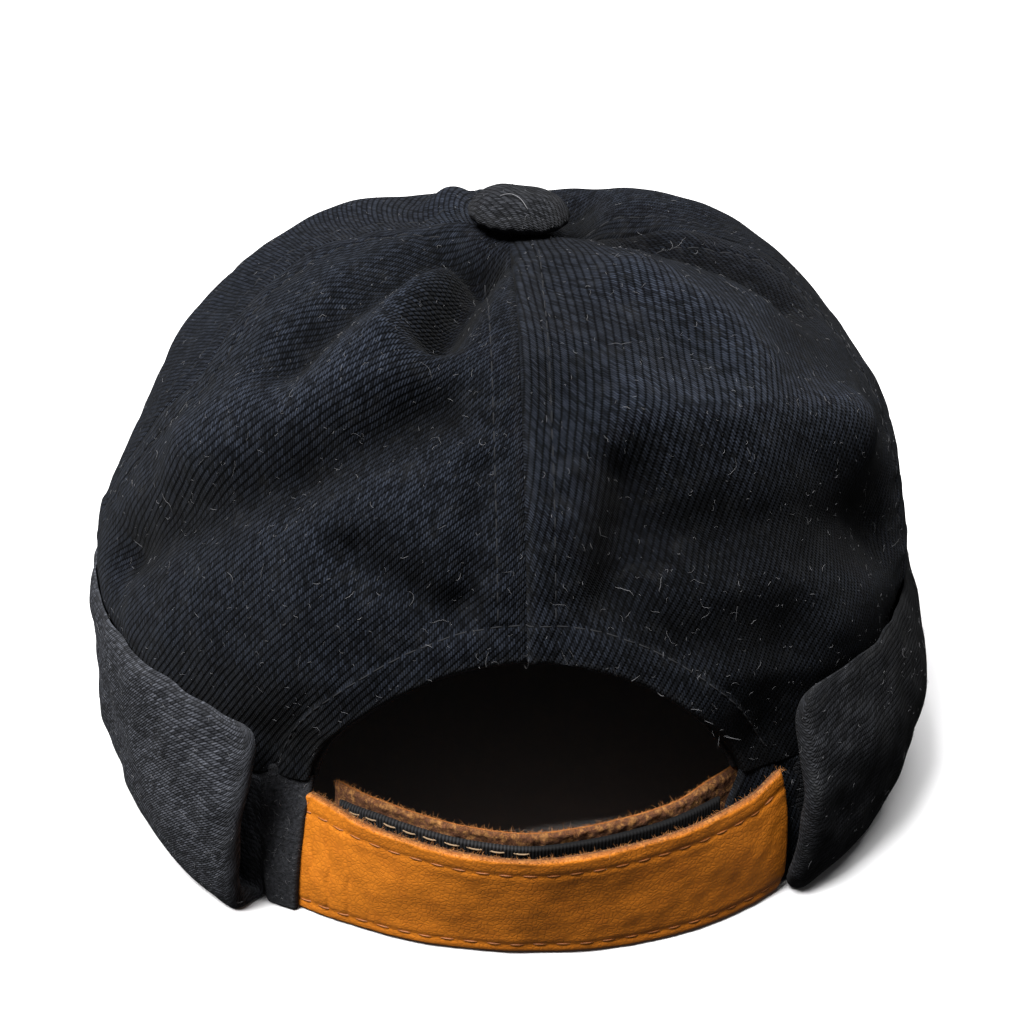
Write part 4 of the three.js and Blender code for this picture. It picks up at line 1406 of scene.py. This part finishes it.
class CAP_OT_button(bpy.types.Operator):
    """Cover the button on top of the crown"""

    bl_idname = "cap.button"
    bl_label = "Button"

    def execute(self, context):
        crown = Crown(context.scene.cap_sizes)
        s = crown.s
        finish = context.scene.cap_finish
        stem = [(0.0001, -0.006), (0.0019, -0.006), (0.0019, 0.0)]
        cap = [(s.button_radius * reach, s.button_thick * rise) for reach, rise in BUTTON]
        profile = even_rows([*stem, *cap, (0.0001, s.button_thick)], 110, 2)
        angle, reach = np.meshgrid(np.linspace(0, 360, 145)[:-1] * DEGREE, profile[:, 0])
        _, rise = np.meshgrid(angle[0], profile[:, 1])
        under = ease((0.55 * s.button_thick - rise) / (0.4 * s.button_thick))
        under = under * ease((reach - 0.003) / 0.004)
        pleat = np.cos(angle * 17 + 1.3 * np.sin(angle * 3)) * 0.28 * MM * under
        reach = reach + pleat
        x = reach * np.cos(angle)
        y = reach * np.sin(angle)
        local = np.stack([x, y, rise], -1)
        rise = rise + 0.25 * MM * ripples(local, 0.012, 51) * ease(rise / 0.004)
        tilt = s.button_tilt * DEGREE
        z = rise * math.cos(tilt) - x * math.sin(tilt)
        across = x * math.cos(tilt) + rise * math.sin(tilt)
        foot = np.array([crown.shift[0] + s.button_shift, crown.shift[1], s.crown_height - 0.0004])
        points = np.stack([across, y, z], -1) + foot
        rows, columns = points.shape[:2]
        rings = np.arange(rows * columns).reshape(rows, columns)
        turned = np.roll(rings, -1, axis=1)
        walls = np.stack([rings[:-1], turned[:-1], turned[1:], rings[1:]], -1).reshape(-1, 4)
        ends = []
        for ring, step in ((rings[0], -1), (rings[-1], 1)):
            for k in range(1, columns - 2, 2):
                corners = [ring[0], ring[k], ring[k + 1], ring[k + 2]]
                ends.append(corners[::step])
        weave = material("twill_button", twill_material, finish, finish.button, 76, 1.3)
        walked = np.cumsum(np.hypot(*np.diff(profile, axis=0, prepend=profile[:1]).T))
        from_top = (walked[-1] - walked)[:, None]
        cloth = np.stack([from_top * np.cos(angle), from_top * np.sin(angle)], -1)
        worn = 0.5 * bump(reach - s.button_radius, 0.0012) * ease(rise / 0.002)
        faces = np.concatenate([walls, np.array(ends)])
        piece = mesh_piece("covered_button", points, faces, weave, cloth, {"worn": worn})
        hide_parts("button")
        sweep = np.linspace(0, 1, 14)
        x = mix(-0.0042, 0.0018, sweep)
        y = -0.0040 - 0.0052 * sweep**2.2
        dome = profile[profile[:, 0].argmax():][::-1]
        rise = np.interp(np.hypot(x, y), dome[:, 0], dome[:, 1])
        fibre = np.stack([x, y, rise + 0.0003 + 0.0005 * np.sin(math.pi * sweep)], -1) + foot
        up = np.broadcast_to([0.0, -0.5, 0.85], fibre.shape)
        lint = lint_material(finish)
        piece = tubes("button_fibre", fibre[None], up[None], np.full(len(sweep), 0.00009), 4, lint)
        return {"FINISHED"}


# How many loose fibres lie on each piece
LINTY = {
    "back_left_panel": 520,
    "back_right_panel": 560,
    "front_right_panel": 260,
    "front_left_panel": 260,
    "cuff_band": 1400,
    "tab_left": 70,
    "tab_right": 30,
    "covered_button": 26,
}


def face_values(faces, kind, width):
    """One kind of measure of every face, a row for each face."""
    values = np.zeros(len(faces) * width, np.float32)
    faces.foreach_get(kind, values)
    return values.reshape(-1, width)


class CAP_OT_lint(bpy.types.Operator):
    """Scatter loose pale fibres over the cloth"""

    bl_idname = "cap.lint"
    bl_label = "Lint"

    def execute(self, context):
        crown = Crown(context.scene.cap_sizes)
        finish = context.scene.cap_finish
        rng = np.random.default_rng(7)
        starts = []
        ups = []
        for name, count in LINTY.items():
            faces = bpy.data.objects[name].data.polygons
            middle = face_values(faces, "center", 3)
            normal = face_values(faces, "normal", 3)
            area = face_values(faces, "area", 1)[:, 0]
            axis = crown.shift + [0, 0, 0.035]
            shown = (normal * unit(middle - axis)).sum(-1) > 0.25
            area = np.where(shown, area, 0)
            chosen = rng.choice(len(area), count, p=area / area.sum())
            starts.append(middle[chosen])
            ups.append(normal[chosen])
        starts = np.concatenate(starts).astype(float)
        ups = unit(np.concatenate(ups).astype(float))
        count = len(starts)
        steps = 8
        side = unit(np.cross(ups, rng.normal(size=(count, 3))))
        front = np.cross(ups, side)
        run = rng.uniform(0.0006, 0.0022, count) * rng.choice([0.6, 1, 2.4], count, p=[0.55, 0.38, 0.07])
        heading = rng.uniform(0, 2 * math.pi, count)
        curl = rng.normal(0, 0.2, count)
        place = starts + ups * 0.00012
        paths = [place]
        for step in range(steps - 1):
            heading = heading + curl + rng.normal(0, 0.38, count)
            way = np.cos(heading)[:, None] * side + np.sin(heading)[:, None] * front
            rise = rng.normal(0.00002, 0.00005, count)[:, None]
            place = place + way * (run / (steps - 1))[:, None] + ups * rise
            paths.append(place)
        paths = np.stack(paths, 1)
        paths[..., 2] = np.maximum(paths[..., 2], 0.0002)
        normals = np.repeat(ups[:, None], steps, axis=1)
        thick = rng.uniform(0.000018, 0.00004, (count, 1)) * np.array([0.4, 0.8, 1, 1, 1, 1, 0.8, 0.4])
        fibre = lint_material(finish)
        piece = tubes("lint_fibres", paths, normals, thick, 3, fibre)
        return {"FINISHED"}


def way_out(turn, rise):
    """The way from the cap to a turn round it and a rise above the floor, both in degrees."""
    flat = math.cos(rise * DEGREE)
    return Vector((
        math.sin(turn * DEGREE) * flat, -math.cos(turn * DEGREE) * flat, math.sin(rise * DEGREE)
    ))


class CAP_OT_stage(bpy.types.Operator):
    """Set the floor, the soft studio lights and the camera"""

    bl_idname = "cap.stage"
    bl_label = "Stage"

    def execute(self, context):
        stage = context.scene.cap_stage
        for piece in context.selected_objects:
            piece.select_set(False)
        bpy.ops.mesh.primitive_plane_add(size=12, location=(0, 0, -0.0001))
        floor = context.object
        floor.name = "floor"
        bpy.ops.object.transform_apply(location=True, rotation=False, scale=False)
        floor.data.materials.append(material("pale_floor", floor_material, stage.floor))
        floor.visible_diffuse = False
        floor.visible_glossy = False
        world = bpy.data.worlds.new("studio")
        world.use_nodes = True
        studio = world.node_tree
        sky = studio.nodes["Background"]
        backdrop = studio.nodes.new("ShaderNodeBackground")
        for source, strength in ((sky, stage.sky), (backdrop, 1)):
            source.inputs["Color"].default_value = (1, 1, 1, 1)
            source.inputs["Strength"].default_value = strength
        seen = studio.nodes.new("ShaderNodeLightPath")
        either = studio.nodes.new("ShaderNodeMixShader")
        studio.links.new(seen.outputs["Is Camera Ray"], either.inputs[0])
        studio.links.new(sky.outputs[0], either.inputs[1])
        studio.links.new(backdrop.outputs[0], either.inputs[2])
        studio.links.new(either.outputs[0], studio.nodes["World Output"].inputs["Surface"])
        context.scene.world = world
        for name, turn, rise, soft, power in (
            ("key_light", stage.key_turn, stage.key_rise, 22, stage.key_power),
            ("top_light", 20, 86, 40, stage.top_power),
        ):
            light = bpy.data.lights.new(name, "SUN")
            light.angle = soft * DEGREE
            light.energy = power
            lamp = bpy.data.objects.new(name, light)
            context.scene.collection.objects.link(lamp)
            way = way_out(turn, rise)
            lamp.location = way * 1.5
            lamp.rotation_euler = way.to_track_quat("Z", "Y").to_euler()
        crown = Crown(context.scene.cap_sizes)
        target = Vector(crown.shift) + Vector((0, 0, stage.aim))
        back = way_out(stage.azimuth, stage.elevation)
        camera = bpy.data.objects.new("camera", bpy.data.cameras.new("camera"))
        context.scene.collection.objects.link(camera)
        camera.location = target + back * stage.distance
        camera.rotation_euler = (-back).to_track_quat("-Z", "Y").to_euler()
        camera.data.lens = stage.lens
        camera.data.sensor_width = 36
        camera.data.shift_x = stage.shift_x
        camera.data.shift_y = stage.shift_y
        camera.data.clip_start = 0.01
        context.scene.camera = camera
        context.scene.view_settings.view_transform = "Standard"
        return {"FINISHED"}


STEPS = (
    CAP_OT_crown, CAP_OT_seams, CAP_OT_facing, CAP_OT_cuff, CAP_OT_tabs, CAP_OT_straps, CAP_OT_tapes,
    CAP_OT_button, CAP_OT_lint, CAP_OT_stage,
)


class CAP_PT_panel(bpy.types.Panel):
    """Lists the steps that build the cap"""

    bl_idname = "CAP_PT_panel"
    bl_label = "Fisherman cap"
    bl_space_type = "VIEW_3D"
    bl_region_type = "UI"
    bl_category = "Cap"

    def draw(self, context):
        for step in STEPS:
            self.layout.operator(step.bl_idname)
        for group in (context.scene.cap_sizes, context.scene.cap_finish, context.scene.cap_stage):
            box = self.layout.box()
            for name in group.__annotations__:
                box.prop(group, name)


CLASSES = (CapSizes, CapFinish, CapStage, *STEPS, CAP_PT_panel)


def register():
    for entry in CLASSES:
        bpy.utils.register_class(entry)
    bpy.types.Scene.cap_sizes = bpy.props.PointerProperty(type=CapSizes)
    bpy.types.Scene.cap_finish = bpy.props.PointerProperty(type=CapFinish)
    bpy.types.Scene.cap_stage = bpy.props.PointerProperty(type=CapStage)


def unregister():
    del bpy.types.Scene.cap_stage
    del bpy.types.Scene.cap_finish
    del bpy.types.Scene.cap_sizes
    for entry in reversed(CLASSES):
        bpy.utils.unregister_class(entry)


def main():
    register()
    bpy.ops.cap.crown()
    bpy.ops.cap.seams()
    bpy.ops.cap.facing()
    bpy.ops.cap.cuff()
    bpy.ops.cap.tabs()
    bpy.ops.cap.straps()
    bpy.ops.cap.tapes()
    bpy.ops.cap.button()
    bpy.ops.cap.lint()
    bpy.ops.cap.stage()


if __name__ == "__main__":
    main()
